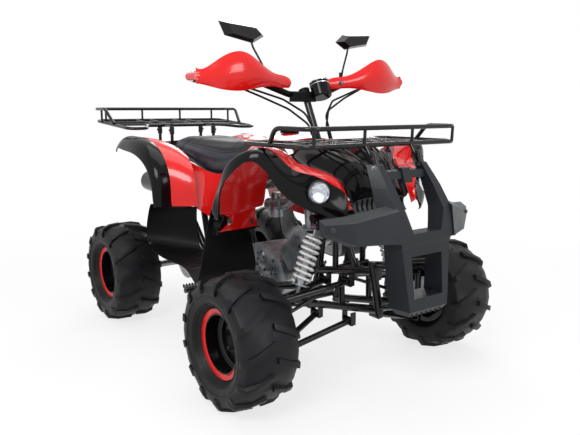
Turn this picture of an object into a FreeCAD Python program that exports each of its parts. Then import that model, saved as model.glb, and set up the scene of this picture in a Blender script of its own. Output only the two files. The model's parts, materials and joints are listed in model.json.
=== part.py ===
import FreeCAD, Part
import Sketcher
import math
import os
from FreeCAD import Placement, Rotation, Vector

# A quad bike: +X forward, +Y left, +Z up, origin on the ground at the middle of its overall length.

# Driving dimensions in millimetres and degrees
SIZES = {
    # The three sizes that outlines and places follow, each as a share of the one along its direction
    "wheelbase": 1000.0,
    "body_width": 1000.0,
    "body_height": 1000.0,
    # How far the middle of the wheelbase lies ahead of the middle of the overall length
    "axle_shift": 23.0,
    # Wheels
    "front_track": 870.0,
    "rear_track": 760.0,
    "tyre_radius": 203.0,
    "tyre_width": 196.0,
    "lug_depth": 10.0,
    "lug_width": 19.0,
    "bead_radius": 90.0,
    "rim_width": 132.0,
    "rim_flange_radius": 105.0,
    "rim_wall": 3.0,
    "ring_band": 11.0,
    "ring_depth": 7.0,
    "hub_radius": 30.0,
    "drum_radius": 62.0,
    "drum_length": 34.0,
    "hub_cap_radius": 17.0,
    "hub_cap_length": 14.0,
    "axle_radius": 14.0,
    "spindle_radius": 9.0,
    "running_gap": 0.3,
    "seat_gap": 0.3,
    "stub_radius": 6.0,
    "bead_gap": 1.1,
    "free_gap": 5.0,
    # Steering and front suspension
    "kingpin_offset": 95.0,
    "kingpin_half_span": 86.0,
    "kingpin_radius": 7.0,
    "ball_housing_radius": 15.0,
    "ball_housing_length": 18.0,
    "upright_radius": 12.0,
    "steer_arm": 46.0,
    "steer_arm_drop": 22.0,
    "steer_arm_plate": 8.0,
    "steer_arm_half_width": 11.0,
    "steer_eye_radius": 15.5,
    "pitman_spread": 34.0,
    "pitman_plate": 8.0,
    "tie_rod_radius": 6.0,
    "rod_end_radius": 11.0,
    "rod_end_length": 14.0,
    "rod_pin_radius": 4.0,
    "open_pin_gap": 6.6,
    "pivot_boss_radius": 21.0,
    "swing_tube_radius": 17.0,
    "lever_root_radius": 6.5,
    "guard_stay_radius": 12.0,
    "rod_end_gap": 3.5,
    "steering_radius": 12.0,
    "steering_sleeve_radius": 19.0,
    "arm_tube_radius": 10.0,
    "bush_radius": 14.0,
    "bush_length": 34.0,
    "bracket_plate": 5.0,
    "spring_radius": 27.0,
    "spring_wire_radius": 4.5,
    "damper_radius": 16.0,
    "damper_rod_radius": 6.0,
    "damper_eye_radius": 12.0,
    # Frame and tubes
    "frame_tube_radius": 13.0,
    "frame_bend": 60.0,
    "rack_tube_radius": 7.0,
    "rack_bend": 40.0,
    "bar_tube_radius": 11.0,
    "grip_radius": 16.0,
    "grip_length": 125.0,
    # Body
    "panel_wall": 4.0,
    "lamp_radius": 31.0,
    "lamp_depth": 30.0,
    "lamp_bezel": 5.0,
    "lamp_cup_depth": 45.0,
    "cable_radius": 3.5,
    "cable_bend": 45.0,
    "speedometer_radius": 34.0,
    "speedometer_length": 62.0,
    "mirror_depth": 24.0,
    "mirror_stem_radius": 3.5,
    # Drive line
    "sprocket_radius": 74.0,
    "sprocket_teeth": 37.0,
    "sprocket_plate": 6.0,
    "drive_sprocket_radius": 32.0,
    "chain_width": 14.0,
    "chain_height": 12.0,
    "chain_gap": 3.0,
    "chain_offset": 78.0,
    "disc_radius": 82.0,
    "disc_plate": 4.0,
    "disc_offset": 82.0,
    "carrier_radius": 32.0,
    "muffler_radius": 44.0,
    "exhaust_radius": 14.0,
    "fin_gap": 5.0,
    "fin_plate": 3.0,
}

doc = FreeCAD.newDocument("quad_bike")
sheet = doc.addObject("Spreadsheet::Sheet", "Sizes")


class Size(float):
    """A length that keeps the expression which gives it, so that it can also bind a feature."""

    def __new__(cls, value, text):
        size = float.__new__(cls, value)
        size.text = text
        return size

    def __add__(self, other):
        return Size(float(self) + float(other), f"({self.text} + {words(other)})")

    def __radd__(self, other):
        return Size(float(other) + float(self), f"({words(other)} + {self.text})")

    def __sub__(self, other):
        return Size(float(self) - float(other), f"({self.text} - {words(other)})")

    def __rsub__(self, other):
        return Size(float(other) - float(self), f"({words(other)} - {self.text})")

    def __mul__(self, other):
        return Size(float(self) * float(other), f"({self.text} * {words(other)})")

    def __rmul__(self, other):
        return Size(float(other) * float(self), f"({words(other)} * {self.text})")

    def __truediv__(self, other):
        return Size(float(self) / float(other), f"({self.text} / {words(other)})")

    def __neg__(self):
        return Size(-float(self), f"(0 - {self.text})")


def words(value):
    """The expression of a size, or the plain number."""
    return value.text if isinstance(value, Size) else repr(float(value))


class Named:
    """The sheet's sizes as attributes."""


S = Named()
for row, (alias, value) in enumerate(SIZES.items(), start=1):
    sheet.set(f"A{row}", alias)
    sheet.set(f"B{row}", repr(value))
    sheet.setAlias(f"B{row}", alias)
doc.recompute()
for alias in SIZES:
    setattr(S, alias, Size(sheet.get(alias), f"Sizes.{alias}"))

X = Vector(1, 0, 0)
Y = Vector(0, 1, 0)
Z = Vector(0, 0, 1)
ORIGIN = Vector(0, 0, 0)
RIGHT = -1
LEFT = 1
HALF = 0.5
CORNERS = 4
FULL_TURN = 360
SIDES = {"right": RIGHT, "left": LEFT}

FRONT_AXLE_X = S.wheelbase * HALF + S.axle_shift
REAR_AXLE_X = S.axle_shift - S.wheelbase * HALF
AXLE_Z = S.tyre_radius
FRONT_WHEEL_Y = S.front_track * HALF
REAR_WHEEL_Y = S.rear_track * HALF


# Shapes that the pieces are made of

def spot(x_share, y_share, z_share):
    """A point given from the middle of the wheelbase, in shares of the wheelbase, body width and body
    height."""
    return Vector(S.wheelbase * x_share + S.axle_shift, S.body_width * y_share, S.body_height * z_share)


def spots(shares):
    return [spot(*share) for share in shares]


def mirrored(shape):
    """The same shape on the other side of the bike."""
    return shape.mirror(ORIGIN, Y)


def both(shape):
    """A right-hand shape and its left-hand twin."""
    return Part.makeCompound([shape, mirrored(shape)])


def solids_of(shapes):
    return [solid for shape in shapes for solid in shape.Solids]


def joined(*shapes):
    """The shapes fused to one, without seams on flat faces."""
    solids = solids_of(shapes)
    if len(solids) == 1:
        return solids[0]
    return solids[0].multiFuse(solids[1:]).removeSplitter()


def rod(start, end, radius):
    """A round bar from start to end."""
    return Part.makeCylinder(float(radius), (end - start).Length, start, end - start)


def rounded_path(points, bend):
    """A wire of straight runs, joined by tangent arcs of about the bend radius."""
    edges = []
    last = points[0]
    for before, corner, after in zip(points, points[1:], points[2:]):
        back = (before - corner).normalize()
        ahead = (after - corner).normalize()
        half_turn = (math.pi - back.getAngle(ahead)) * HALF
        longest = TUBE_RUN_SHARE * min((before - corner).Length, (after - corner).Length)
        cut = min(bend * math.tan(half_turn), longest)
        radius = cut / math.tan(half_turn)
        middle = corner + (back + ahead).normalize() * (math.hypot(radius, cut) - radius)
        start = corner + back * cut
        end = corner + ahead * cut
        edges.append(Part.LineSegment(last, start).toShape())
        edges.append(Part.Arc(start, middle, end).toShape())
        last = end
    edges.append(Part.LineSegment(last, points[-1]).toShape())
    return Part.Wire(edges)

# The most of a straight run that one bend may take
TUBE_RUN_SHARE = 0.45


def tube(points, radius, bend):
    """A round tube along points, with rounded bends."""
    ring = Part.Wire([Part.Circle(points[0], points[1] - points[0], float(radius)).toShape()])
    return rounded_path(points, bend).makePipeShell([ring], True, False)


def prism(points, along):
    """A flat outline, extruded along a vector."""
    return Part.Face(Part.makePolygon(points + [points[0]])).extrude(along)


def slab(points, thickness):
    """A flat outline in a plane across Y, thickened evenly on both sides of it."""
    shift = Y * (thickness * HALF)
    return prism([point - shift for point in points], shift * 2)


def skin(rows, thickness):
    """A curved panel through rows of points, thickened to the inside: the side away from rows x columns."""
    last_row = len(rows) - 1
    last_column = len(rows[0]) - 1
    inner = []
    for i, line in enumerate(rows):
        inner.append([])
        for j, point in enumerate(line):
            down = rows[min(i + 1, last_row)][j] - rows[max(i - 1, 0)][j]
            over = line[min(j + 1, last_column)] - line[max(j - 1, 0)]
            inner[-1].append(point - down.cross(over).normalize() * thickness)
    surfaces = []
    for grid in (rows, inner):
        surface = Part.BSplineSurface()
        surface.interpolate(grid)
        surfaces.append(surface)
    faces = [surface.toShape() for surface in surfaces]
    for border in range(CORNERS):
        edges = []
        for surface in surfaces:
            u_low, u_high, v_low, v_high = surface.bounds()
            curves = (surface.uIso(u_low), surface.uIso(u_high), surface.vIso(v_low), surface.vIso(v_high))
            edges.append(curves[border].toShape())
        faces += Part.makeLoft([Part.Wire(edge) for edge in edges], False, True).Faces
    shell = Part.makeShell(faces)
    shell.sewShape()
    solid = Part.Solid(shell)
    if solid.Volume < 0:
        solid.reverse()
    return solid


def share_skin(table_shares, thickness):
    return skin([spots(row) for row in table_shares], thickness)


def faceted(rings):
    """A closed body of flat faces through rings of points, the last ring joined to the first."""
    faces = []
    for ring, following in zip(rings, rings[1:] + rings[:1]):
        for k in range(len(ring)):
            m = (k + 1) % len(ring)
            corners = [ring[k], ring[m], following[m], following[k], ring[k]]
            faces.append(Part.Face(Part.makePolygon(corners)))
    shell = Part.makeShell(faces)
    shell.sewShape()
    solid = Part.Solid(shell)
    if solid.Volume < 0:
        solid.reverse()
    return solid


def turned(shape, centre, axis, angle):
    copy = shape.copy()
    copy.rotate(centre, axis, angle)
    return copy


def moved(shape, shift):
    return shape.transformed(Placement(shift, Rotation()).toMatrix(), True)


# The document's objects

pieces = []


def piece(label, shape):
    """A sub-part whose shape is made in code from the sheet's sizes."""
    feature = doc.addObject("Part::Feature", label)
    feature.Label = label
    solids = shape.Solids
    feature.Shape = solids[0] if len(solids) == 1 else Part.makeCompound(solids)
    feature.Placement = Placement(ORIGIN, Rotation())
    pieces.append(feature)
    return feature


def profile_sketch(body, points, role):
    """A closed sketch of straight lines on one of the body's planes, each corner bound to its size."""
    sketch = body.newObject("Sketcher::SketchObject", body.Name + "_sketch")
    plane = next(item for item in body.Origin.OriginFeatures if item.Role == role)
    sketch.AttachmentSupport = (plane, [""])
    sketch.MapMode = "FlatFace"
    count = len(points)
    for i, (across, up) in enumerate(points):
        next_across, next_up = points[(i + 1) % count]
        sketch.addGeometry(Part.LineSegment(Vector(across, up, 0), Vector(next_across, next_up, 0)), False)
    for i, (across, up) in enumerate(points):
        sketch.addConstraint(Sketcher.Constraint("Coincident", i, 2, (i + 1) % count, 1))
        for kind, axis, place in (("DistanceX", -2, across), ("DistanceY", -1, up)):
            if place == 0:
                sketch.addConstraint(Sketcher.Constraint("PointOnObject", i, 1, axis))
                continue
            number = sketch.addConstraint(Sketcher.Constraint(kind, -1, 1, i, 1, float(place)))
            sketch.setExpression(f"Constraints[{number}]", words(place))
    return sketch


def place_body(body, x, y, z):
    for name, value in (("x", x), ("y", y), ("z", z)):
        body.setExpression(f"Placement.Base.{name}", words(value))


def turned_body(label, points, x, y, z):
    """A body of revolution about its own Y axis: points are pairs of radius and place along the axis."""
    body = doc.addObject("PartDesign::Body", label)
    body.Label = label
    sketch = profile_sketch(body, points, "XY_Plane")
    revolution = body.newObject("PartDesign::Revolution", label + "_turning")
    revolution.Profile = sketch
    revolution.ReferenceAxis = (sketch, ["V_Axis"])
    revolution.Angle = FULL_TURN
    sketch.Visibility = False
    place_body(body, x, y, z)
    pieces.append(body)
    return body


def sideways(points, side):
    """A profile for the right or left side: places along the axis grow outwards."""
    return [(radius, place * side) for radius, place in points]


# Tyres: a faceted carcass with chevron lugs that run over its shoulders

TYRE_FACETS = 24
LUGS_A_SIDE = 13
# Place across as a share of the half width, and height as a share of the way from bead to lug foot
TYRE_OUTER_SHARES = [(0.58, 0.0), (0.60, 0.15), (0.90, 0.32), (0.97, 0.60), (0.90, 0.86), (0.50, 1.0)]
TYRE_INNER_SHARES = [(0.50, 0.0), (0.80, 0.40), (0.72, 0.90)]
# Place across as a share of the half width, and depth below the tread in lug depths
LUG_SHARES = [(0.04, 1.5), (0.04, 0.0), (0.55, 0.0), (0.88, 0.9), (1.0, 3.2), (1.0, 4.6), (0.91, 4.4),
              (0.82, 2.2), (0.5, 1.5)]
LUG_LEAD_SHARE = 0.45
TURN = 360.0


def tyre():
    """One tyre about the Y axis."""
    half_width = S.tyre_width * HALF
    foot = S.tyre_radius - S.lug_depth
    rise = foot - S.bead_radius
    outer = [(half_width * across, S.bead_radius + rise * up) for across, up in TYRE_OUTER_SHARES]
    inner = [(half_width * across, S.bead_radius + rise * up) for across, up in TYRE_INNER_SHARES]
    section = outer + [(-across, radius) for across, radius in reversed(outer)]
    section += [(-across, radius) for across, radius in inner]
    section += list(reversed(inner))
    rings = []
    for k in range(TYRE_FACETS):
        angle = 2 * math.pi * k / TYRE_FACETS
        rings.append([Vector(radius * math.cos(angle), across, radius * math.sin(angle))
                      for across, radius in section])
    carcass = faceted(rings)
    lean = S.tyre_width * HALF * LUG_LEAD_SHARE * HALF
    corner = lean + S.lug_width * HALF
    tread = math.sqrt(S.tyre_radius ** 2 - corner ** 2)
    lugs = []
    for side in (RIGHT, LEFT):
        outline = []
        for across_share, depth_share in LUG_SHARES:
            across = half_width * across_share
            lead = LUG_LEAD_SHARE * across - corner
            outline.append(Vector(lead, side * across, tread - S.lug_depth * depth_share))
        lug = prism(outline, X * S.lug_width)
        for k in range(LUGS_A_SIDE):
            stagger = HALF if side == LEFT else 0
            lugs.append(turned(lug, ORIGIN, Y, TURN * (k + stagger) / LUGS_A_SIDE))
    return joined(carcass, *lugs)


# Rims, rings and hubs: bodies of revolution about each wheel's axis

# Radius as a share of the bead radius, and place outwards as a share of half the rim's width
DISH_SHARES = [(0.965, 0.32), (0.82, 0.22), (0.78, 0.06), (0.62, 0.06), (0.57, 0.18), (0.27, 0.18)]


def rim(label, side, x, y):
    half = S.rim_width * HALF
    barrel = S.bead_radius - S.bead_gap
    bore = barrel - S.rim_wall
    outline = [(S.rim_flange_radius, -half), (S.rim_flange_radius, S.rim_wall - half),
               (barrel, S.rim_wall - half), (barrel, half - S.rim_wall), (bore, half - S.rim_wall)]
    outline += [(S.bead_radius * radius, half * place) for radius, place in DISH_SHARES]
    outline += [(S.bead_radius * radius, half * place - S.rim_wall)
                for radius, place in reversed(DISH_SHARES)]
    outline += [(bore, -half)]
    return turned_body(label, sideways(outline, side), x, y, AXLE_Z)


def ring(label, side, x, y):
    half = S.rim_width * HALF
    foot = half - S.ring_depth
    outline = [(S.bead_radius, foot), (S.rim_flange_radius, foot + S.rim_wall * HALF),
               (S.rim_flange_radius, half), (S.rim_flange_radius - S.ring_band, half),
               (S.bead_radius, half - S.rim_wall)]
    return turned_body(label, sideways(outline, side), x, y, AXLE_Z)


HUB_SEAT_SHARE = 0.18
hub_face = S.rim_width * HALF * HUB_SEAT_SHARE - S.rim_wall
drum_foot = -(S.kingpin_offset - S.upright_radius - S.free_gap) + S.spindle_radius * 2


def front_hub(label, side):
    bore = S.spindle_radius + S.running_gap
    outline = [(bore, drum_foot), (S.drum_radius, drum_foot), (S.drum_radius, drum_foot + S.drum_length),
               (S.hub_radius, drum_foot + S.drum_length), (S.hub_radius, hub_face),
               (S.hub_cap_radius, hub_face), (S.hub_cap_radius, hub_face + S.hub_cap_length),
               (0, hub_face + S.hub_cap_length), (0, hub_face - S.rim_wall), (bore, hub_face - S.rim_wall)]
    return turned_body(label, sideways(outline, side), FRONT_AXLE_X, FRONT_WHEEL_Y * side, AXLE_Z)


def set_aside(*bodies):
    """Takes bodies that only feed another object off the list of sub-parts."""
    for body in bodies:
        pieces.remove(body)
    return list(bodies)


def paired(label, bodies):
    """One sub-part of two like solids on one axle."""
    pair = doc.addObject("Part::Compound", label)
    pair.Label = label
    pair.Links = set_aside(*bodies)
    pieces.append(pair)


one_tyre = tyre()
for name, side in SIDES.items():
    piece(f"tyre_front_{name}", moved(one_tyre, Vector(FRONT_AXLE_X, FRONT_WHEEL_Y * side, AXLE_Z)))
    rim(f"rim_front_{name}", side, FRONT_AXLE_X, FRONT_WHEEL_Y * side)
    ring(f"ring_front_{name}", side, FRONT_AXLE_X, FRONT_WHEEL_Y * side)
    front_hub(f"hub_front_{name}", side)
piece("tyres_rear", Part.makeCompound([moved(one_tyre, Vector(REAR_AXLE_X, REAR_WHEEL_Y * side, AXLE_Z))
                                       for side in SIDES.values()]))
paired("rims_rear", [rim(f"rim_rear_{n}", s, REAR_AXLE_X, REAR_WHEEL_Y * s) for n, s in SIDES.items()])
paired("rings_rear", [ring(f"ring_rear_{n}", s, REAR_AXLE_X, REAR_WHEEL_Y * s) for n, s in SIDES.items()])

# Rear axle: one turned shaft with a hub and a cap at each end
axle_right = [(S.axle_radius, -REAR_WHEEL_Y - drum_foot), (S.hub_radius, -REAR_WHEEL_Y - drum_foot),
              (S.hub_radius, -REAR_WHEEL_Y - hub_face), (S.hub_cap_radius, -REAR_WHEEL_Y - hub_face),
              (S.hub_cap_radius, -REAR_WHEEL_Y - hub_face - S.hub_cap_length),
              (0, -REAR_WHEEL_Y - hub_face - S.hub_cap_length)]
axle_left = [(radius, -place) for radius, place in reversed(axle_right)]
turned_body("rear_axle", axle_right + axle_left, REAR_AXLE_X, 0, AXLE_Z)

# Steering geometry: a raked column, upright kingpins and tie rods that stay parallel to the column's plane

COLUMN_TOP_SHARES = (0.250, 0, 0.945)
COLUMN_TOP = spot(*COLUMN_TOP_SHARES)
COLUMN_FOOT_SHARES = (0.540, 0, 0.338)
COLUMN_FOOT = spot(*COLUMN_FOOT_SHARES)
COLUMN = (COLUMN_TOP - COLUMN_FOOT).normalize()
COLUMN_BACK = Y.cross(COLUMN).normalize() * RIGHT
KINGPIN_Y = FRONT_WHEEL_Y - S.kingpin_offset


def kingpin(side, rise):
    return Vector(FRONT_AXLE_X, KINGPIN_Y * side, AXLE_Z + rise)


def steer_pin(side):
    """The tie rod's pin on the knuckle's arm, behind the kingpin."""
    return kingpin(side, -S.steer_arm_drop) - X * S.steer_arm


def pitman_pin(side):
    """The tie rod's pin on the column's arm."""
    return COLUMN_FOOT + COLUMN_BACK * S.steer_arm + Y * (S.pitman_spread * HALF * side)


def knuckle(side):
    half_span = S.kingpin_half_span
    half_housing = S.ball_housing_length * HALF
    lower_seat = kingpin(side, S.seat_gap + half_housing - half_span)
    upper_seat = kingpin(side, half_span - half_housing - S.seat_gap)
    upright = rod(lower_seat, upper_seat, S.upright_radius)
    pins = rod(kingpin(side, -half_span - half_housing), kingpin(side, half_span + half_housing),
               S.kingpin_radius)
    reach = S.kingpin_offset + hub_face - S.rim_wall - S.running_gap
    spindle = rod(kingpin(side, 0), kingpin(side, 0) + Y * (side * reach), S.spindle_radius)
    shoulder = rod(kingpin(side, 0), kingpin(side, 0) + Y * (side * (S.upright_radius + S.free_gap)),
                   S.spindle_radius * 2)
    arm_start = kingpin(side, -S.steer_arm_drop)
    wide = Y * S.steer_arm_half_width
    thick = Z * S.steer_arm_plate
    end = steer_pin(side)
    arm = prism([arm_start + wide, end + wide, end - wide, arm_start - wide], thick * RIGHT)
    eye = rod(end, end - thick, S.steer_eye_radius)
    hole = rod(end, end - thick, S.rod_pin_radius + S.open_pin_gap)
    return joined(upright, pins, spindle, shoulder, arm, eye).cut(hole)


def tie_rod(side):
    """A rod end round the column's pin, the rod, and a rod end with a stud that hangs in the arm's hole."""
    inner = pitman_pin(side)
    outer = steer_pin(side) + Z * (S.rod_end_length * HALF + S.rod_end_gap)
    half = S.rod_end_length * HALF
    inner_eye = rod(inner - COLUMN * half, inner + COLUMN * half, S.rod_end_radius)
    bore = rod(inner - COLUMN * half, inner + COLUMN * half, S.rod_pin_radius + S.running_gap)
    outer_eye = rod(outer - Z * half, outer + Z * half, S.rod_end_radius)
    stud = rod(outer - Z * (half + S.rod_end_gap + S.steer_arm_plate), outer, S.rod_pin_radius)
    return joined(rod(inner, outer, S.tie_rod_radius), inner_eye, outer_eye, stud).cut(bore)


for name, side in SIDES.items():
    piece(f"knuckle_{name}", knuckle(side))
    piece(f"tie_rod_{name}", tie_rod(side))

PITMAN_EDGE_SHARES = (-0.9, 0.9)


def steering_column():
    """The shaft with its arm at the foot, whose two pins carry the tie rods."""
    shaft = rod(COLUMN_FOOT, COLUMN_TOP, S.steering_radius)
    plate_low = COLUMN * (S.rod_end_length * HALF + S.seat_gap)
    parts = [shaft]
    corners = [Y * (S.pitman_spread * share) for share in PITMAN_EDGE_SHARES]
    back = COLUMN_BACK * (S.steer_arm + S.rod_end_radius)
    outline = [COLUMN_FOOT + corners[0] + plate_low, COLUMN_FOOT + corners[1] + plate_low,
               COLUMN_FOOT + corners[1] + plate_low + back, COLUMN_FOOT + corners[0] + plate_low + back]
    parts.append(prism(outline, COLUMN * S.pitman_plate))
    for side in (RIGHT, LEFT):
        pin = pitman_pin(side)
        parts.append(rod(pin - COLUMN * S.rod_end_length * HALF, pin + plate_low, S.rod_pin_radius))
    return joined(*parts)


piece("steering_column", steering_column())

# Front suspension: two wishbones a side, whose outer ends are the ball joints' housings

LOWER_BUSH_SHARES = [(0.405, 0.060, 0.186), (0.569, 0.060, 0.203)]
UPPER_BUSH_SHARES = [(0.447, 0.060, 0.313), (0.560, 0.060, 0.331)]
BUSH_PIN_SHARE = 0.4


def bush_ends(centre):
    half = X * (S.bush_length * HALF)
    return centre - half, centre + half


def bush_pin(centre):
    start, end = bush_ends(centre)
    return rod(start - X * S.bracket_plate, end + X * S.bracket_plate, S.bush_radius * BUSH_PIN_SHARE)


def wishbone(bush_shares, height):
    """Two tubes from their bushes to one ball joint housing, on the left side."""
    centre = kingpin(LEFT, height)
    half = Z * (S.ball_housing_length * HALF)
    parts = [rod(centre - half, centre + half, S.ball_housing_radius)]
    bores = [rod(centre - half, centre + half, S.kingpin_radius + S.running_gap)]
    for bush in spots(bush_shares):
        start, end = bush_ends(bush)
        parts.append(rod(start, end, S.bush_radius))
        parts.append(rod(bush, centre, S.arm_tube_radius))
        bores.append(rod(start, end, S.bush_radius * BUSH_PIN_SHARE + S.running_gap))
    body = joined(*parts)
    for way in (Z, Z * RIGHT):
        face = centre + way * (S.ball_housing_length * HALF)
        bores.append(rod(face, face + way * S.ball_housing_length, S.ball_housing_radius))
    for bore in bores:
        body = body.cut(bore)
    return body


SHOCK_FOOT_SHARES = (0.500, 0.223, 0.288)
SHOCK_FOOT = spot(*SHOCK_FOOT_SHARES)
SHOCK_HEAD_SHARES = (0.500, 0.141, 0.511)
SHOCK_HEAD = spot(*SHOCK_HEAD_SHARES)
EAR_SPREAD = S.damper_eye_radius * 2
EAR_PIN_SHARE = 0.4
EAR_WIDTH_SHARE = 0.8


def ears(centre, anchor, across):
    """Two plates that hold a damper's eye, with the pin across them."""
    drop = anchor - centre
    side = across.cross(drop).normalize() * (S.damper_eye_radius * EAR_WIDTH_SHARE)
    tip = centre - drop.normalize() * (S.damper_eye_radius * EAR_WIDTH_SHARE)
    outline = [tip - side, tip + side, anchor + side, anchor - side]
    start = EAR_SPREAD * HALF + S.seat_gap
    parts = [prism([point + across * start for point in outline], across * S.bracket_plate),
             prism([point - across * start for point in outline], across * -S.bracket_plate)]
    reach = across * (start + S.bracket_plate)
    parts.append(rod(centre - reach, centre + reach, S.damper_eye_radius * EAR_PIN_SHARE))
    return parts


FOOT_BRIDGE_SHARES = [(0.480, 0.254, 0.297), (0.520, 0.254, 0.300)]
upper_arm = wishbone(UPPER_BUSH_SHARES, S.kingpin_half_span)
lower_arm = wishbone(LOWER_BUSH_SHARES, -S.kingpin_half_span)
foot_bridge = spots(FOOT_BRIDGE_SHARES)
foot_ears = ears(SHOCK_FOOT, (foot_bridge[0] + foot_bridge[1]) * HALF, X)
eye_reach = X * (EAR_SPREAD * HALF + S.seat_gap)
upper_arm = upper_arm.cut(rod(SHOCK_FOOT - eye_reach, SHOCK_FOOT + eye_reach,
    S.damper_eye_radius + S.seat_gap))
upper_arm = joined(upper_arm, rod(*foot_bridge, S.arm_tube_radius), *foot_ears)
piece("suspension_arms", Part.makeCompound([both(upper_arm), both(lower_arm)]))

DAMPER_BODY_SHARE = 0.4
# Places of the two spring seats along the front damper and along the rear one
FRONT_SEAT_SHARES = (0.21, 0.86)
REAR_SEAT_SHARES = (0.20, 0.84)


def damper(foot, head, across, seat_low_share, seat_high_share):
    """Eyes, body, rod and the two spring seats of one damper."""
    along = (head - foot).normalize()
    length = (head - foot).Length
    half = across * (EAR_SPREAD * HALF)
    seat_low = foot + along * (length * seat_low_share)
    seat_high = foot + along * (length * seat_high_share)
    seat_radius = S.spring_radius + S.spring_wire_radius
    plate = along * S.bracket_plate
    parts = [rod(foot - half, foot + half, S.damper_eye_radius),
        rod(head - half, head + half, S.damper_eye_radius),
             rod(seat_low - plate, seat_low + along * (length * DAMPER_BODY_SHARE), S.damper_radius),
             rod(foot, head, S.damper_rod_radius),
             rod(seat_low - plate, seat_low, seat_radius), rod(seat_high, seat_high + plate, seat_radius)]
    body = joined(*parts)
    for end in (foot, head):
        bore = S.damper_eye_radius * EAR_PIN_SHARE + S.running_gap
        body = body.cut(rod(end - half, end + half, bore))
    return body, seat_low, seat_high


COIL_TURNS = 8
COIL_STEPS = 10
COIL_SIDES = 6


def coil(low, high):
    """A spring between two seats, as a faceted wire."""
    along = (high - low).normalize()
    first = along.cross(X).normalize()
    second = along.cross(first).normalize()
    wire = S.spring_wire_radius
    climb = (high - low).Length - 2 * (wire + S.seat_gap)
    steps = COIL_TURNS * COIL_STEPS
    rings = []
    for k in range(steps + 1):
        angle = 2 * math.pi * k / COIL_STEPS
        out = first * math.cos(angle) + second * math.sin(angle)
        centre = low + along * (wire + S.seat_gap + climb * k / steps) + out * S.spring_radius
        ring_points = []
        for m in range(COIL_SIDES):
            turn = 2 * math.pi * (m + HALF) / COIL_SIDES
            ring_points.append(centre + (out * math.cos(turn) + along * math.sin(turn)) * wire)
        rings.append(ring_points)
    faces = [Part.Face(Part.makePolygon(end + [end[0]])) for end in (rings[0], rings[-1])]
    for ring_low, ring_high in zip(rings, rings[1:]):
        for m in range(COIL_SIDES):
            n = (m + 1) % COIL_SIDES
            faces.append(Part.Face(Part.makePolygon([ring_low[m], ring_low[n], ring_high[n], ring_low[m]])))
            faces.append(Part.Face(Part.makePolygon([ring_low[m], ring_high[n], ring_high[m], ring_low[m]])))
    shell = Part.makeShell(faces)
    shell.sewShape()
    solid = Part.Solid(shell)
    if solid.Volume < 0:
        solid.reverse()
    return solid


REAR_SHOCK_FOOT_SHARES = (-0.385, 0, 0.285)
REAR_SHOCK_FOOT = spot(*REAR_SHOCK_FOOT_SHARES)
REAR_SHOCK_HEAD_SHARES = (-0.262, 0, 0.525)
REAR_SHOCK_HEAD = spot(*REAR_SHOCK_HEAD_SHARES)
front_damper, coil_low, coil_high = damper(SHOCK_FOOT, SHOCK_HEAD, X, *FRONT_SEAT_SHARES)
rear_damper, rear_coil_low, rear_coil_high = damper(REAR_SHOCK_FOOT, REAR_SHOCK_HEAD, Y, *REAR_SEAT_SHARES)
piece("dampers", Part.makeCompound([both(front_damper), rear_damper]))
piece("springs", Part.makeCompound([both(coil(coil_low, coil_high)), coil(rear_coil_low, rear_coil_high)]))

# Frame: tubes along both sides with cross tubes between them

RAIL_HALF_SHARE = 0.060

MAIN_LOOP_SHARES = [(0.372, 0.060, 0.213), (0.300, 0.110, 0.205), (-0.190, 0.110, 0.205),
    (-0.245, 0.110, 0.330),
                    (-0.300, 0.110, 0.545), (-0.480, 0.105, 0.640), (-0.700, 0.105, 0.668)]
TOP_RAIL_SHARES = [(0.500, 0.060, 0.538), (0.420, 0.060, 0.600), (0.150, 0.070, 0.635),
    (-0.130, 0.095, 0.560),
                   (-0.295, 0.110, 0.540)]
LOWER_FRONT_SHARES = [(0.372, 0.060, 0.213), (0.702, 0.060, 0.275)]
UPPER_FRONT_SHARES = [(0.419, 0.060, 0.342), (0.676, 0.060, 0.390)]
FRONT_POST_SHARES = [(0.705, 0.060, 0.262), (0.670, 0.060, 0.416)]
REAR_POST_SHARES = [(0.365, 0.060, 0.200), (0.422, 0.060, 0.352)]
TOWER_SHARES = [(0.500, 0.060, 0.358), (0.500, 0.060, 0.538)]
STRUT_SHARES = [(0.531, 0.060, 0.360), (0.534, 0.060, 0.245)]
BACK_STAY_SHARES = [(0.419, 0.060, 0.342), (0.455, 0.060, 0.572)]
CROSS_SHARES = [(0.300, 0.110, 0.205), (-0.185, 0.110, 0.205), (-0.300, 0.110, 0.540), (-0.690, 0.105, 0.667),
                (0.150, 0.070, 0.635), (0.700, 0.060, 0.276), (0.674, 0.060, 0.396)]
TOWER_CROSS_SHARES = (0.500, 0.160, 0.538)
TOWER_CROSS = spot(*TOWER_CROSS_SHARES)
FRONT_SPLIT_SHARE = 0.373
SWING_PIVOT_SHARES = (-0.180, 0.110, 0.250)
SWING_PIVOT = spot(*SWING_PIVOT_SHARES)


def cross_tube(end, radius):
    return rod(end, Vector(end.x, -end.y, end.z), radius)


def column_at(height):
    """The point of the steering column's axis at a height."""
    return COLUMN_FOOT + COLUMN * ((height - COLUMN_FOOT.z) / COLUMN.z)


def column_bearing(height_share, half_length):
    """A sleeve round the column with a cross tube to both rails."""
    centre = column_at(S.body_height * height_share)
    sleeve = rod(centre - COLUMN * half_length, centre + COLUMN * half_length, S.steering_sleeve_radius)
    arm = cross_tube(Vector(centre.x, spot(0, RAIL_HALF_SHARE, 0).y, centre.z), S.arm_tube_radius)
    return [sleeve, arm]

BRACKET_WIDTH_SHARE = 0.7


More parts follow.
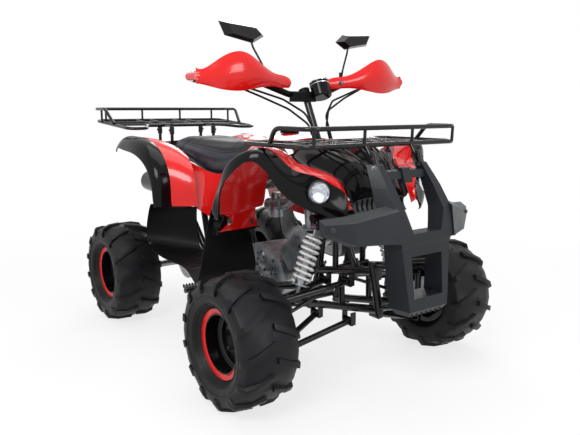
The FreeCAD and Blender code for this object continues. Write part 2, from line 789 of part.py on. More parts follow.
def bush_bracket(bush, rail_height):
    """Two plates that hang from the rail and hold a wishbone's pin."""
    parts = [bush_pin(bush)]
    half_width = S.bush_radius * BRACKET_WIDTH_SHARE
    for end, way in zip(bush_ends(bush), (-1, 1)):
        start = end + X * (S.seat_gap * way)
        low = Vector(start.x, bush.y, bush.z - half_width)
        high = Vector(start.x, bush.y, rail_height)
        wide = Y * half_width
        parts.append(prism([low - wide, low + wide, high + wide, high - wide], X * (S.bracket_plate * way)))
    return parts

RAIL_HEIGHT_SHARES = (0.235, 0.360)
BEARING_HEIGHT_SHARES = (0.605, 0.372)
HANGER_HALF_SHARE = 0.104


def frame_shapes():
    half = []
    radius = S.frame_tube_radius
    for shares in (MAIN_LOOP_SHARES, TOP_RAIL_SHARES):
        half.append(tube(spots(shares), radius, S.frame_bend))
    for shares in (LOWER_FRONT_SHARES, UPPER_FRONT_SHARES, FRONT_POST_SHARES, REAR_POST_SHARES):
        half.append(rod(*spots(shares), radius))
    for shares in (TOWER_SHARES, STRUT_SHARES, BACK_STAY_SHARES):
        half.append(rod(*spots(shares), S.arm_tube_radius))
    lower_rail, upper_rail = [S.body_height * share for share in RAIL_HEIGHT_SHARES]
    for bush in spots(LOWER_BUSH_SHARES):
        half += bush_bracket(bush, lower_rail)
    for bush in spots(UPPER_BUSH_SHARES):
        half += bush_bracket(bush, upper_rail)
    half += ears(SHOCK_HEAD, Vector(SHOCK_HEAD.x, SHOCK_HEAD.y, TOWER_CROSS.z), X)
    pivot_out = Vector(SWING_PIVOT.x, SWING_PIVOT.y, SWING_PIVOT.z)
    half.append(rod(pivot_out - Y * S.bush_radius * 2, pivot_out, S.pivot_boss_radius))
    whole = [both(shape) for shape in half]
    whole += [cross_tube(end, S.arm_tube_radius) for end in spots(CROSS_SHARES)]
    whole.append(cross_tube(TOWER_CROSS, S.frame_tube_radius))
    for share in BEARING_HEIGHT_SHARES:
        whole += column_bearing(share, S.bush_length * HALF)
    hanger = REAR_SHOCK_HEAD + Z * (S.damper_eye_radius * 2)
    whole += ears(REAR_SHOCK_HEAD, hanger, Y)
    whole.append(cross_tube(Vector(hanger.x, spot(0, HANGER_HALF_SHARE, 0).y, hanger.z), S.arm_tube_radius))
    frame = joined(*whole)
    bore = rod(COLUMN_FOOT, COLUMN_TOP, S.steering_radius + S.running_gap)
    frame = frame.cut(bore)
    pivot = cross_tube(SWING_PIVOT, S.bush_radius * BUSH_PIN_SHARE + S.running_gap)
    return frame.cut(pivot)


frame = frame_shapes()
far = S.wheelbase * 2


def stub(start, end, other):
    """A bar that starts inside its carrier and ends on the face of another piece, on the left side."""
    bar = rod(start, end, S.stub_radius).cut(other)
    return min(bar.Solids, key=lambda solid: solid.distToShape(Part.Vertex(start))[0])

# Swing arm with the axle's carrier

SWING_BRACE_SHARES = (-0.385, 0.040, 0.222)
SWING_ARM_SHARES = [(-0.180, 0.040, 0.250), (-0.500, 0.040, 0.203)]
CARRIER_HALF_SHARE = 0.055
CARRIER_HALF = Y * (S.body_width * CARRIER_HALF_SHARE)
REAR_AXLE = Vector(REAR_AXLE_X, 0, AXLE_Z)


def swing_arm():
    parts = [both(rod(*spots(SWING_ARM_SHARES), S.frame_tube_radius))]
    reach = SWING_PIVOT.y - S.bush_radius * 2 - S.seat_gap
    pivot = Vector(SWING_PIVOT.x, reach, SWING_PIVOT.z)
    parts.append(cross_tube(pivot, S.swing_tube_radius))
    parts.append(rod(REAR_AXLE - CARRIER_HALF, REAR_AXLE + CARRIER_HALF, S.carrier_radius))
    brace = spot(*SWING_BRACE_SHARES)
    parts.append(cross_tube(brace, S.arm_tube_radius))
    parts += ears(REAR_SHOCK_FOOT, Vector(REAR_SHOCK_FOOT.x, 0, brace.z), Y)
    body = joined(*parts)
    body = body.cut(cross_tube(pivot, S.bush_radius * BUSH_PIN_SHARE + S.running_gap))
    return body.cut(rod(REAR_AXLE - CARRIER_HALF, REAR_AXLE + CARRIER_HALF, S.axle_radius + S.running_gap))


piece("swing_pin", cross_tube(SWING_PIVOT, S.bush_radius * BUSH_PIN_SHARE))

# Drive line: sprockets, the chain as one loop, brake disc and caliper

SPROCKET_CENTRE = REAR_AXLE + Y * S.chain_offset
DRIVE_CENTRE_SHARES = (-0.040, 0, 0.250)
DRIVE_CENTRE = spot(*DRIVE_CENTRE_SHARES) + Y * S.chain_offset

# Along one tooth: place as a share of its pitch, and whether it is at the root
TOOTH_SHARES = ((0.0, 1), (0.25, 0), (0.5, 0), (0.75, 1))


def toothed(centre, radius, teeth, depth):
    """A toothed wheel across Y: each tooth is a short trapezium."""
    points = []
    for k in range(int(teeth)):
        for offset_share, root in TOOTH_SHARES:
            angle = 2 * math.pi * (k + offset_share) / int(teeth)
            size = radius - depth * root
            points.append(centre + Vector(size * math.cos(angle), 0, size * math.sin(angle)))
    return slab(points, S.sprocket_plate)

SPROCKET_WINDOWS = 6
WINDOW_RADIUS_SHARE = 0.16
WINDOW_CIRCLE_SHARE = 0.66


def sprocket():
    plate = toothed(SPROCKET_CENTRE, S.sprocket_radius, S.sprocket_teeth, S.chain_height * HALF)
    boss = rod(REAR_AXLE + CARRIER_HALF + Y * S.seat_gap, SPROCKET_CENTRE, S.carrier_radius)
    bore = rod(REAR_AXLE, REAR_AXLE + Y * (S.chain_offset * 2), S.axle_radius)
    body = joined(plate, boss)
    for k in range(SPROCKET_WINDOWS):
        window = rod(SPROCKET_CENTRE - Y * S.sprocket_plate, SPROCKET_CENTRE + Y * S.sprocket_plate,
                     S.sprocket_radius * WINDOW_RADIUS_SHARE)
        window = moved(window, X * (S.sprocket_radius * WINDOW_CIRCLE_SHARE))
        body = body.cut(turned(window, SPROCKET_CENTRE, Y, TURN * k / SPROCKET_WINDOWS))
    return body.cut(bore)


def belt_face(radius_rear, radius_front):
    """The flat face inside a belt that runs round both sprockets."""
    gap = SPROCKET_CENTRE - DRIVE_CENTRE
    distance = gap.Length
    base = math.atan2(gap.z, gap.x)
    open_angle = math.acos((radius_rear - radius_front) / distance)

    def rim_point(centre, radius, angle):
        return centre + Vector(radius * math.cos(angle), 0, radius * math.sin(angle))

    high = base + math.pi + open_angle
    low = base + math.pi - open_angle
    rear = [rim_point(SPROCKET_CENTRE, radius_rear, angle) for angle in (high, base, low)]
    front = [rim_point(DRIVE_CENTRE, radius_front, angle) for angle in (low, base + math.pi, high)]
    edges = [Part.Arc(*rear).toShape(), Part.LineSegment(rear[2], front[0]).toShape(),
             Part.Arc(*front).toShape(), Part.LineSegment(front[2], rear[0]).toShape()]
    return Part.Face(Part.Wire(edges))


def belt(radius_rear, radius_front, width):
    shift = Y * (width * HALF)
    face = belt_face(radius_rear, radius_front)
    face.translate(-shift)
    return face.extrude(shift * 2)


chain_inner_rear = S.sprocket_radius + S.chain_gap
chain_inner_front = S.drive_sprocket_radius + S.seat_gap
chain_outer = belt(chain_inner_rear + S.chain_height, chain_inner_front + S.chain_height, S.chain_width)
chain_hole = belt(chain_inner_rear, chain_inner_front, S.chain_width * 2)
piece("chain", chain_outer.cut(chain_hole))
piece("sprocket", sprocket())

DISC_HOLES = 12
DISC_CIRCLE_SHARE = 0.8


def brake_disc():
    centre = REAR_AXLE - Y * S.disc_offset
    half = Y * (S.disc_plate * HALF)
    plate = rod(centre - half, centre + half, S.disc_radius)
    boss = rod(REAR_AXLE - CARRIER_HALF - Y * S.seat_gap, centre, S.carrier_radius)
    body = joined(plate, boss)
    for k in range(DISC_HOLES):
        hole = moved(rod(centre - half, centre + half, S.rod_pin_radius),
            X * (S.disc_radius * DISC_CIRCLE_SHARE))
        body = body.cut(turned(hole, centre, Y, TURN * k / DISC_HOLES))
    return body.cut(rod(REAR_AXLE, REAR_AXLE - Y * (S.disc_offset * 2), S.axle_radius))

CALIPER_PLACE_SHARES = (0.85, 0.45)
CALIPER_HEIGHT_SHARE = 1.3
CALIPER_ARM_SHARES = [(-0.430, -0.045, 0.222), (-0.430, -0.078, 0.222)]


def brake_caliper():
    """A block that straddles the disc's rim ahead of the axle, on a plate from the carrier."""
    ahead, above = [S.disc_radius * share for share in CALIPER_PLACE_SHARES]
    centre = REAR_AXLE - Y * S.disc_offset + X * ahead + Z * above
    length = S.disc_radius * HALF
    height = length * CALIPER_HEIGHT_SHARE
    depth = S.disc_plate + (S.free_gap + S.bracket_plate * 2) * 2
    block = Part.makeBox(length, depth, height, centre - Vector(length, depth, height) * HALF)
    slot_half = Y * (S.disc_plate * HALF + S.free_gap)
    axis = REAR_AXLE - Y * S.disc_offset
    slot = rod(axis - slot_half, axis + slot_half, S.disc_radius + S.free_gap)
    plate_y = -S.disc_offset + S.disc_plate * HALF + S.free_gap
    outline = [REAR_AXLE + Z * S.carrier_radius, centre + Z * length * HALF, centre - Z * length * HALF,
               REAR_AXLE - Z * (S.carrier_radius * HALF)]
    outline = [Vector(point.x, plate_y, point.z) for point in outline]
    plate = prism(outline, Y * S.bracket_plate)
    body = joined(block.cut(slot), plate)
    body = body.cut(rod(REAR_AXLE - Y * far, REAR_AXLE + Y * far, S.carrier_radius + S.free_gap))
    return body


piece("brake_disc", brake_disc())
caliper = brake_caliper()
piece("brake_caliper", caliper)
caliper_arm = stub(*spots(CALIPER_ARM_SHARES), caliper)
piece("swing_arm", joined(swing_arm(), caliper_arm))

# Engine: crankcase with its two covers, finned cylinder and head, carburettor on a bent manifold, exhaust

CRANKCASE_SHARES = [(-0.085, 0, 0.300), (-0.070, 0, 0.205), (-0.020, 0, 0.160), (0.130, 0, 0.150),
                    (0.205, 0, 0.195), (0.232, 0, 0.265), (0.190, 0, 0.330), (0.060, 0, 0.375),
                    (-0.040, 0, 0.350)]
CRANKCASE_WIDTH_SHARE = 0.124
CLUTCH_COVER_SHARES = [(0.105, -0.062, 0.245), (0.105, -0.090, 0.245)]
FLYWHEEL_COVER_SHARES = [(0.120, 0.062, 0.245), (0.120, 0.088, 0.245)]
COVER_RADIUS_SHARE = 0.066
CYLINDER_FOOT_SHARES = (0.165, 0, 0.300)
CYLINDER_FOOT = spot(*CYLINDER_FOOT_SHARES)
CYLINDER_HEAD_SHARES = (0.300, 0, 0.420)
CYLINDER_HEAD = spot(*CYLINDER_HEAD_SHARES)
BORE_AXIS = (CYLINDER_HEAD - CYLINDER_FOOT).normalize()
BORE_UP = Y.cross(BORE_AXIS) * -1
FIN_WIDTH_SHARE = 0.100
FIN_HEIGHT_SHARE = 0.092
FIN_WIDTH = S.body_width * FIN_WIDTH_SHARE
FIN_HEIGHT = S.body_height * FIN_HEIGHT_SHARE

DRIVE_SHAFT_SHARE = 0.3


def crankcase():
    case = slab(spots(CRANKCASE_SHARES), S.body_width * CRANKCASE_WIDTH_SHARE)
    covers = [rod(*spots(shares), S.body_height * COVER_RADIUS_SHARE)
              for shares in (CLUTCH_COVER_SHARES, FLYWHEEL_COVER_SHARES)]
    drive = rod(DRIVE_CENTRE - Y * (S.chain_offset * DRIVE_SHAFT_SHARE),
        DRIVE_CENTRE + Y * (S.sprocket_plate * HALF),
                S.drive_sprocket_radius - S.seat_gap)
    return joined(case, drive, *covers)


def block_along(start, end, width, height):
    """A square block along the cylinder's axis."""
    across = Y * (width * HALF)
    up = BORE_UP * (height * HALF)
    return prism([start + across + up, start - across + up, start - across - up, start + across - up],
        end - start)

# The finned barrel and its head, as shares of the barrel's length and of the fins' width
CORE_SHARE = 0.72
FINNED_SHARE = 0.70
FIRST_FIN_SHARE = 0.28
HEAD_SHARE = 0.24
HEAD_WIDTH_SHARE = 0.86
CAM_COVER_SHARES = (0.43, 0.56)
CAM_RADIUS_SHARE = 0.34


def cylinder():
    length = (CYLINDER_HEAD - CYLINDER_FOOT).Length
    core = block_along(CYLINDER_FOOT, CYLINDER_HEAD, FIN_WIDTH * CORE_SHARE, FIN_HEIGHT * CORE_SHARE)
    pitch = S.fin_gap + S.fin_plate
    parts = [core]
    count = int(length * FINNED_SHARE / pitch)
    for k in range(count):
        start = CYLINDER_FOOT + BORE_AXIS * (length * FIRST_FIN_SHARE + pitch * k)
        parts.append(block_along(start, start + BORE_AXIS * S.fin_plate, FIN_WIDTH, FIN_HEIGHT))
    head_end = CYLINDER_HEAD + BORE_AXIS * (length * HEAD_SHARE)
    parts.append(block_along(CYLINDER_HEAD, head_end, FIN_WIDTH * HEAD_WIDTH_SHARE,
        FIN_HEIGHT * HEAD_WIDTH_SHARE))
    cam = CYLINDER_HEAD + BORE_AXIS * (length * HEAD_SHARE * HALF)
    cam_start, cam_end = [Y * (FIN_WIDTH * share) for share in CAM_COVER_SHARES]
    parts.append(rod(cam + cam_start, cam + cam_end, FIN_HEIGHT * CAM_RADIUS_SHARE))
    return joined(*parts)


case = crankcase()
barrel = cylinder().cut(case)
piece("engine_case", case)
piece("engine_cylinder", barrel)

INTAKE_SHARES = [(0.318, -0.020, 0.485), (0.312, -0.022, 0.545), (0.250, -0.035, 0.572),
    (0.205, -0.040, 0.540),
                 (0.150, -0.040, 0.530)]
INTAKE_RADIUS_SHARE = 0.018
CARBURETTOR_SHARES = [(0.185, -0.040, 0.538), (0.095, -0.040, 0.525)]

INTAKE_FOOT_SHARES = (0.318, -0.020, 0.462)
# Radii and heights of the carburettor's bodies, in shares of the intake's radius
FLANGE_SHARE = 1.8
THROAT_SHARE = 1.3
BOWL_SHARE = 1.35
BOWL_DEPTH_SHARE = 2.6
SLIDE_SHARE = 1.1
SLIDE_HEIGHT_SHARE = 2.4


def carburettor():
    start, end = spots(CARBURETTOR_SHARES)
    bowl_top = (start + end) * HALF
    radius = S.body_height * INTAKE_RADIUS_SHARE
    base = spot(*INTAKE_FOOT_SHARES)
    intake = tube([base] + spots(INTAKE_SHARES)[1:], radius, S.frame_bend * HALF)
    flange = rod(base, base + Z * S.bracket_plate, radius * FLANGE_SHARE)
    body = rod(start, end, radius * THROAT_SHARE)
    bowl = rod(bowl_top, bowl_top - Z * (radius * BOWL_DEPTH_SHARE), radius * BOWL_SHARE)
    slide = rod(bowl_top, bowl_top + Z * (radius * SLIDE_HEIGHT_SHARE), radius * SLIDE_SHARE)
    return joined(intake, flange, body, bowl, slide)


piece("carburettor", carburettor().cut(barrel).cut(frame))

EXHAUST_SHARES = [(0.335, -0.010, 0.400), (0.372, -0.030, 0.350), (0.340, -0.085, 0.275),
    (0.250, -0.148, 0.262),
                  (-0.020, -0.152, 0.262), (-0.180, -0.165, 0.330), (-0.285, -0.190, 0.500),
                  (-0.345, -0.190, 0.545)]
MUFFLER_SHARES = [(-0.345, -0.190, 0.545), (-0.620, -0.190, 0.560)]

HANGER_RAIL_SHARE = 0.107


def exhaust():
    pipe = tube(spots(EXHAUST_SHARES), S.exhaust_radius, S.frame_bend)
    start, end = spots(MUFFLER_SHARES)
    along = (end - start).normalize()
    can = rod(start, end, S.muffler_radius)
    tip = rod(end, end + along * S.hub_cap_length, S.exhaust_radius)
    mouth = rod(end - along * S.muffler_radius, end + along * S.hub_cap_length,
                S.exhaust_radius - S.rim_wall)
    rail_y = S.body_width * HANGER_RAIL_SHARE
    can_hanger = rod(start + along * S.muffler_radius, Vector(start.x - S.muffler_radius, -rail_y, start.z),
                     S.damper_rod_radius)
    return joined(pipe, can, tip, can_hanger).cut(mouth)


piece("exhaust", exhaust().cut(barrel).cut(frame))

# Body panels, right-hand side, mirrored to the left

FLARE_LIP_SHARES = [(0.290, -0.380, 0.478), (0.304, -0.390, 0.530), (0.342, -0.402, 0.605),
    (0.390, -0.406, 0.668),
                    (0.445, -0.392, 0.712), (0.480, -0.368, 0.726), (0.504, -0.342, 0.701),
                    (0.527, -0.316, 0.652),
                    (0.559, -0.280, 0.607), (0.598, -0.236, 0.578), (0.632, -0.198, 0.565),
                    (0.664, -0.150, 0.560)]
FLARE_CREST_SHARES = [(0.276, -0.376, 0.484), (0.288, -0.386, 0.545), (0.324, -0.396, 0.630),
    (0.372, -0.398, 0.698),
                      (0.430, -0.384, 0.742), (0.477, -0.351, 0.757), (0.503, -0.327, 0.739),
                      (0.530, -0.307, 0.700),
                      (0.562, -0.276, 0.660), (0.600, -0.238, 0.630), (0.636, -0.196, 0.605),
                      (0.662, -0.158, 0.578)]
FLARE_EDGE_SHARES = [(0.280, -0.366, 0.486), (0.290, -0.374, 0.548), (0.324, -0.382, 0.634),
    (0.372, -0.382, 0.703),
                     (0.428, -0.360, 0.750), (0.466, -0.321, 0.763), (0.494, -0.292, 0.743),
                     (0.523, -0.265, 0.708),
                     (0.552, -0.242, 0.691), (0.587, -0.212, 0.680), (0.624, -0.173, 0.653),
                     (0.654, -0.148, 0.592)]
FENDER_MID_SHARES = [(0.268, -0.280, 0.486), (0.284, -0.285, 0.550), (0.320, -0.285, 0.634),
    (0.372, -0.280, 0.700),
                     (0.424, -0.288, 0.748), (0.458, -0.285, 0.763), (0.487, -0.261, 0.742),
                     (0.517, -0.234, 0.714),
                     (0.552, -0.207, 0.697), (0.591, -0.179, 0.682), (0.622, -0.156, 0.654),
                     (0.653, -0.137, 0.588)]
FENDER_INNER_SHARES = [(0.252, -0.200, 0.486), (0.272, -0.202, 0.555), (0.312, -0.203, 0.640),
    (0.368, -0.204, 0.704),
                       (0.410, -0.225, 0.738), (0.443, -0.240, 0.752), (0.474, -0.225, 0.734),
                       (0.504, -0.199, 0.711),
                       (0.547, -0.166, 0.694), (0.588, -0.143, 0.675), (0.616, -0.133, 0.647),
                       (0.653, -0.126, 0.583)]


def rows_between(*lines_shares):
    """Panel rows across the given lines, point by point."""
    return [[spot(*share) for share in row] for row in zip(*lines_shares)]


def lerp(a, b, share):
    return tuple(p + (q - p) * share for p, q in zip(a, b))


def set_in(line_shares, toward_shares, share):
    """A line moved a share of the way toward another."""
    return [lerp(a, b, share) for a, b in zip(line_shares, toward_shares)]


SEAM_SHARE = 0.0065
flare_rows = rows_between(FLARE_LIP_SHARES, FLARE_CREST_SHARES,
    set_in(FLARE_CREST_SHARES, FLARE_EDGE_SHARES, HALF),
                          FLARE_EDGE_SHARES)
STRIPE_FIRST = 7
fender_rows = rows_between(set_in(FLARE_EDGE_SHARES, FENDER_MID_SHARES, SEAM_SHARE * 2),
                           FENDER_MID_SHARES, FENDER_INNER_SHARES)
fender_front = skin(fender_rows[:STRIPE_FIRST + 1], S.panel_wall)
stripe_rows = fender_rows[STRIPE_FIRST:]
stripe_rows[0] = [a + (b - a) * SEAM_SHARE for a, b in zip(stripe_rows[0], stripe_rows[1])]
stripe = skin(stripe_rows, S.panel_wall).cut(fender_front)
piece("stripes", both(stripe))
piece("fenders_front", both(fender_front))
flare_front = skin(flare_rows, S.panel_wall).cut(fender_front).cut(stripe)

# The hood between the stripes, the tank cover behind it and the nose below
# Each cross line: place and height at the middle, half width, place and height at the edge
HOOD_LINE_SHARES = [(0.440, 0.752, 0.234, 0.436, 0.748), (0.505, 0.742, 0.194, 0.500, 0.708),
                    (0.560, 0.720, 0.163, 0.545, 0.690), (0.602, 0.690, 0.140, 0.588, 0.672),
                    (0.630, 0.650, 0.130, 0.618, 0.644), (0.643, 0.622, 0.124, 0.637, 0.612)]
# Across a line, as shares of its half width, and how far the surface stands above the straight line there
HOOD_CREASE_SHARES = [(-1.0, 0.0), (-0.72, 0.0), (-0.50, 0.016), (0.0, 0.004), (0.50, 0.016),
    (0.72, 0.0), (1.0, 0.0)]


def hood_rows():
    rows = []
    for middle_x, middle_z, half, edge_x, edge_z in HOOD_LINE_SHARES:
        row = []
        for across, rise in HOOD_CREASE_SHARES:
            fall = across * across
            row.append(spot(middle_x + (edge_x - middle_x) * fall, half * across,
                            middle_z + (edge_z - middle_z) * fall + rise))
        rows.append(row)
    return rows


hood_shell = skin(hood_rows(), S.panel_wall)

TANK_SHARES = [
    [(0.040, -0.120, 0.640), (0.050, -0.095, 0.735), (0.060, 0, 0.762), (0.050, 0.095, 0.735),
    (0.040, 0.120, 0.640)],
    [(0.120, -0.150, 0.640), (0.125, -0.110, 0.752), (0.130, 0, 0.786), (0.125, 0.110, 0.752),
    (0.120, 0.150, 0.640)],
    [(0.210, -0.175, 0.640), (0.210, -0.120, 0.756), (0.210, 0, 0.790), (0.210, 0.120, 0.756),
    (0.210, 0.175, 0.640)],
    [(0.300, -0.190, 0.660), (0.300, -0.130, 0.752), (0.300, 0, 0.778), (0.300, 0.130, 0.752),
    (0.300, 0.190, 0.660)]]
tank_cover = share_skin(TANK_SHARES, S.panel_wall)
CAP_FOOT_SHARES = (0.170, 0, 0.790)
cap_foot = spot(*CAP_FOOT_SHARES)
cap = rod(cap_foot, cap_foot + Z * S.hub_cap_length, S.speedometer_radius)
piece("tank_cover", tank_cover)
cap = cap.cut(tank_cover).cut(moved(tank_cover, Z * S.seat_gap))
piece("tank_cap", max(cap.Solids, key=lambda solid: solid.Volume))

SIDE_SHARES = [
    [(-0.345, -0.172, 0.672), (-0.215, -0.166, 0.650), (-0.090, -0.162, 0.632), (0.030, -0.168, 0.652),
     (0.170, -0.188, 0.672)],
    [(-0.290, -0.192, 0.600), (-0.200, -0.184, 0.570), (-0.080, -0.178, 0.545), (0.050, -0.182, 0.552),
     (0.200, -0.198, 0.572)],
    [(-0.235, -0.196, 0.500), (-0.160, -0.190, 0.480), (-0.050, -0.186, 0.460), (0.080, -0.190, 0.455),
     (0.225, -0.198, 0.486)]]
side_cover = both(share_skin(SIDE_SHARES, S.panel_wall))
piece("side_covers", side_cover)

REAR_LIP_SHARES = [(-0.250, -0.345, 0.500), (-0.262, -0.345, 0.560), (-0.282, -0.345, 0.616),
    (-0.330, -0.348, 0.664),
                   (-0.434, -0.350, 0.698), (-0.540, -0.345, 0.706), (-0.640, -0.330, 0.690)]
REAR_CREST_SHARES = [(-0.232, -0.325, 0.500), (-0.240, -0.325, 0.566), (-0.260, -0.325, 0.636),
    (-0.310, -0.325, 0.696),
                     (-0.420, -0.325, 0.742), (-0.530, -0.322, 0.752), (-0.650, -0.310, 0.716)]
REAR_EDGE_SHARES = [(-0.228, -0.280, 0.500), (-0.234, -0.280, 0.568), (-0.252, -0.280, 0.638),
    (-0.302, -0.280, 0.698),
                    (-0.410, -0.280, 0.745), (-0.525, -0.280, 0.756), (-0.648, -0.275, 0.722)]
REAR_MID_SHARES = [(-0.185, -0.235, 0.500), (-0.196, -0.235, 0.568), (-0.220, -0.232, 0.636),
    (-0.276, -0.228, 0.694),
                   (-0.390, -0.225, 0.738), (-0.520, -0.225, 0.746), (-0.645, -0.225, 0.722)]
REAR_INNER_SHARES = [(-0.160, -0.200, 0.500), (-0.172, -0.200, 0.566), (-0.200, -0.196, 0.632),
                     (-0.262, -0.186, 0.680), (-0.380, -0.170, 0.712), (-0.520, -0.165, 0.722),
                     (-0.640, -0.165, 0.712)]
rear_flare_rows = rows_between(REAR_LIP_SHARES, REAR_CREST_SHARES, REAR_EDGE_SHARES)
rear_rows = rows_between(set_in(REAR_EDGE_SHARES, REAR_MID_SHARES, SEAM_SHARE * 2), REAR_MID_SHARES,
                         REAR_INNER_SHARES)
fender_rear = both(skin(rear_rows, S.panel_wall))
piece("fenders_rear", fender_rear)
piece("flares_rear", both(skin(rear_flare_rows, S.panel_wall)).cut(fender_rear))
TAIL_SHARES = [
    [(-0.530, 0.150, 0.735), (-0.535, 0, 0.740), (-0.530, -0.150, 0.735)],
    [(-0.600, 0.155, 0.728), (-0.610, 0, 0.732), (-0.600, -0.155, 0.728)],
    [(-0.670, 0.150, 0.700), (-0.680, 0, 0.704), (-0.670, -0.150, 0.700)]]

# Footwells: one bent sheet a side, from the front fender's foot down to the floor and up to the rear fender
FOOTWELL_OUTER_SHARES = [(0.272, -0.380, 0.474), (0.205, -0.388, 0.385), (0.135, -0.386, 0.292),
    (0.085, -0.382, 0.316),
                         (-0.020, -0.378, 0.324), (-0.150, -0.376, 0.328), (-0.245, -0.370, 0.344),
                         (-0.292, -0.362, 0.400), (-0.262, -0.352, 0.494)]
FOOTWELL_MID_SHARES = [(0.262, -0.290, 0.474), (0.218, -0.292, 0.388), (0.168, -0.292, 0.300),
    (0.100, -0.290, 0.312),
                       (-0.020, -0.290, 0.320), (-0.145, -0.290, 0.324), (-0.215, -0.288, 0.342),
                       (-0.246, -0.285, 0.400), (-0.228, -0.280, 0.494)]
FOOTWELL_INNER_SHARES = [(0.250, -0.200, 0.474), (0.232, -0.200, 0.390), (0.200, -0.200, 0.308),
                         (0.115, -0.200, 0.312), (-0.020, -0.200, 0.320), (-0.115, -0.200, 0.324),
                         (-0.155, -0.200, 0.346), (-0.172, -0.200, 0.400), (-0.164, -0.200, 0.494)]
footwell_rows = rows_between(FOOTWELL_OUTER_SHARES, FOOTWELL_MID_SHARES, FOOTWELL_INNER_SHARES)
footwell = both(skin(footwell_rows, S.panel_wall))
piece("footwells", footwell)

# Foot pegs: a bar a side across the frame, under the floor, with a tread plate
PEG_SHARES = [(-0.030, 0.105, 0.212), (-0.030, 0.335, 0.212)]

PEG_REST_SHARES = [(-0.030, 0.255, 0.212), (-0.030, 0.255, 0.345)]
TREAD_DROP_SHARE = 0.8


def footpeg():
    inner, outer = spots(PEG_SHARES)
    bar = rod(inner, outer, S.arm_tube_radius)
    wide = X * (S.bush_length * HALF)
    low = Z * (S.arm_tube_radius * TREAD_DROP_SHARE)
    start = (inner + outer) * HALF
    tread = prism([start + wide + low, outer + wide + low, outer - wide + low, start - wide + low],
        Z * S.steer_arm_plate)
    rest = stub(*spots(PEG_REST_SHARES), footwell)
    return joined(bar, tread, rest)


piece("footpegs", both(footpeg().cut(frame)))

# Seat: a saddle lofted through cross sections, narrower towards the tank
# Each station: place along, half width, height of the underside, height of the top
SEAT_STATION_SHARES = [(-0.520, 0.120, 0.700, 0.738), (-0.470, 0.150, 0.676, 0.752),
    (-0.380, 0.152, 0.662, 0.752),
                       (-0.260, 0.146, 0.630, 0.746), (-0.140, 0.128, 0.604, 0.742),
                       (-0.040, 0.104, 0.632, 0.748),
                       (0.035, 0.080, 0.690, 0.756)]
# Place across as a share of the half width, height as a share of the way from underside to top
SEAT_SECTION_SHARES = [(0.0, 0.0), (0.85, 0.0), (1.0, 0.22), (0.97, 0.62), (0.80, 0.92), (0.45, 1.0),
    (0.0, 0.985)]


def seat():
    wires = []
    for along, half_width, low, high in SEAT_STATION_SHARES:
        side = [(half_width * across, low + (high - low) * up) for across, up in SEAT_SECTION_SHARES]
        loop = side + [(-across, up) for across, up in reversed(side[1:-1])]
        points = [spot(along, across, up) for across, up in loop]
        wires.append(Part.makePolygon(points + [points[0]]))
    return Part.makeLoft(wires, True, False)


saddle = seat()
piece("seat", saddle)

# Bumper: two sloping towers, a cross bar with a block, side wings and a tapered lower box with a window
# Each level of a tower: height, place of the front, place of the back, inner and outer edge, outer
# edge at the back
TOWER_LEVEL_SHARES = [(0.718, 0.728, 0.700, 0.080, 0.102, 0.122), (0.655, 0.777, 0.732, 0.080, 0.111, 0.130),
                      (0.590, 0.820, 0.760, 0.079, 0.115, 0.134), (0.548, 0.829, 0.775, 0.064, 0.118, 0.134),
                      (0.506, 0.836, 0.785, 0.052, 0.121, 0.132)]
# Each level of the lower box: height, place of the front, place of the back, half width in front
# and at the back
BOX_LEVEL_SHARES = [(0.506, 0.832, 0.775, 0.104, 0.118), (0.488, 0.829, 0.770, 0.100, 0.114),
                    (0.343, 0.844, 0.772, 0.084, 0.096), (0.305, 0.847, 0.776, 0.079, 0.090),
                    (0.288, 0.834, 0.790, 0.070, 0.076)]
SILL_LEVEL_SHARES = [(0.529, 0.832, 0.785, 0.060), (0.506, 0.836, 0.785, 0.060)]
WINDOW_SHARES = [(0.463, 0.064), (0.341, 0.060)]
CROSS_BAR_SHARES = [(0.712, 0.700), (0.738, 0.698), (0.744, 0.676), (0.716, 0.678)]
BLOCK_SHARES = [(0.722, 0.708), (0.740, 0.706), (0.754, 0.664), (0.726, 0.664)]
BLOCK_HALF_SHARE = 0.017
CROSS_BAR_HALF_SHARE = 0.090
WING_SHARES = [
    [(0.790, -0.110, 0.612), (0.826, -0.110, 0.598), (0.840, -0.110, 0.508), (0.790, -0.110, 0.500)],
    [(0.735, -0.225, 0.584), (0.772, -0.225, 0.568), (0.784, -0.225, 0.506), (0.744, -0.225, 0.498)],
    [(0.706, -0.300, 0.576), (0.730, -0.300, 0.564), (0.734, -0.300, 0.540), (0.710, -0.300, 0.534)]]


def side_outline(shares, y):
    return [spot(x_share, 0, z_share) + Y * y for x_share, z_share in shares]


def level_loft(levels):
    """A body of flat facets through outlines at several heights."""
    return Part.makeLoft([Part.makePolygon(points + [points[0]]) for points in levels], True, True)


def tower():
    levels = []
    for z_share, front, back, inner, outer, outer_back in TOWER_LEVEL_SHARES:
        levels.append(spots([(front, -inner, z_share), (front, -outer, z_share), (back, -outer_back, z_share),
                             (back, -inner, z_share)]))
    return level_loft(levels)


def lower_box():
    levels = []
    for z_share, front, back, half, half_back in BOX_LEVEL_SHARES:
        levels.append(spots([(front, -half, z_share), (front, half, z_share), (back, half_back, z_share),
                             (back, -half_back, z_share)]))
    (top, top_half), (low, low_half) = WINDOW_SHARES
    corners = spots([(0, -top_half, top), (0, top_half, top), (0, low_half, low), (0, -low_half, low)])
    return level_loft(levels).cut(prism(corners, X * S.wheelbase))


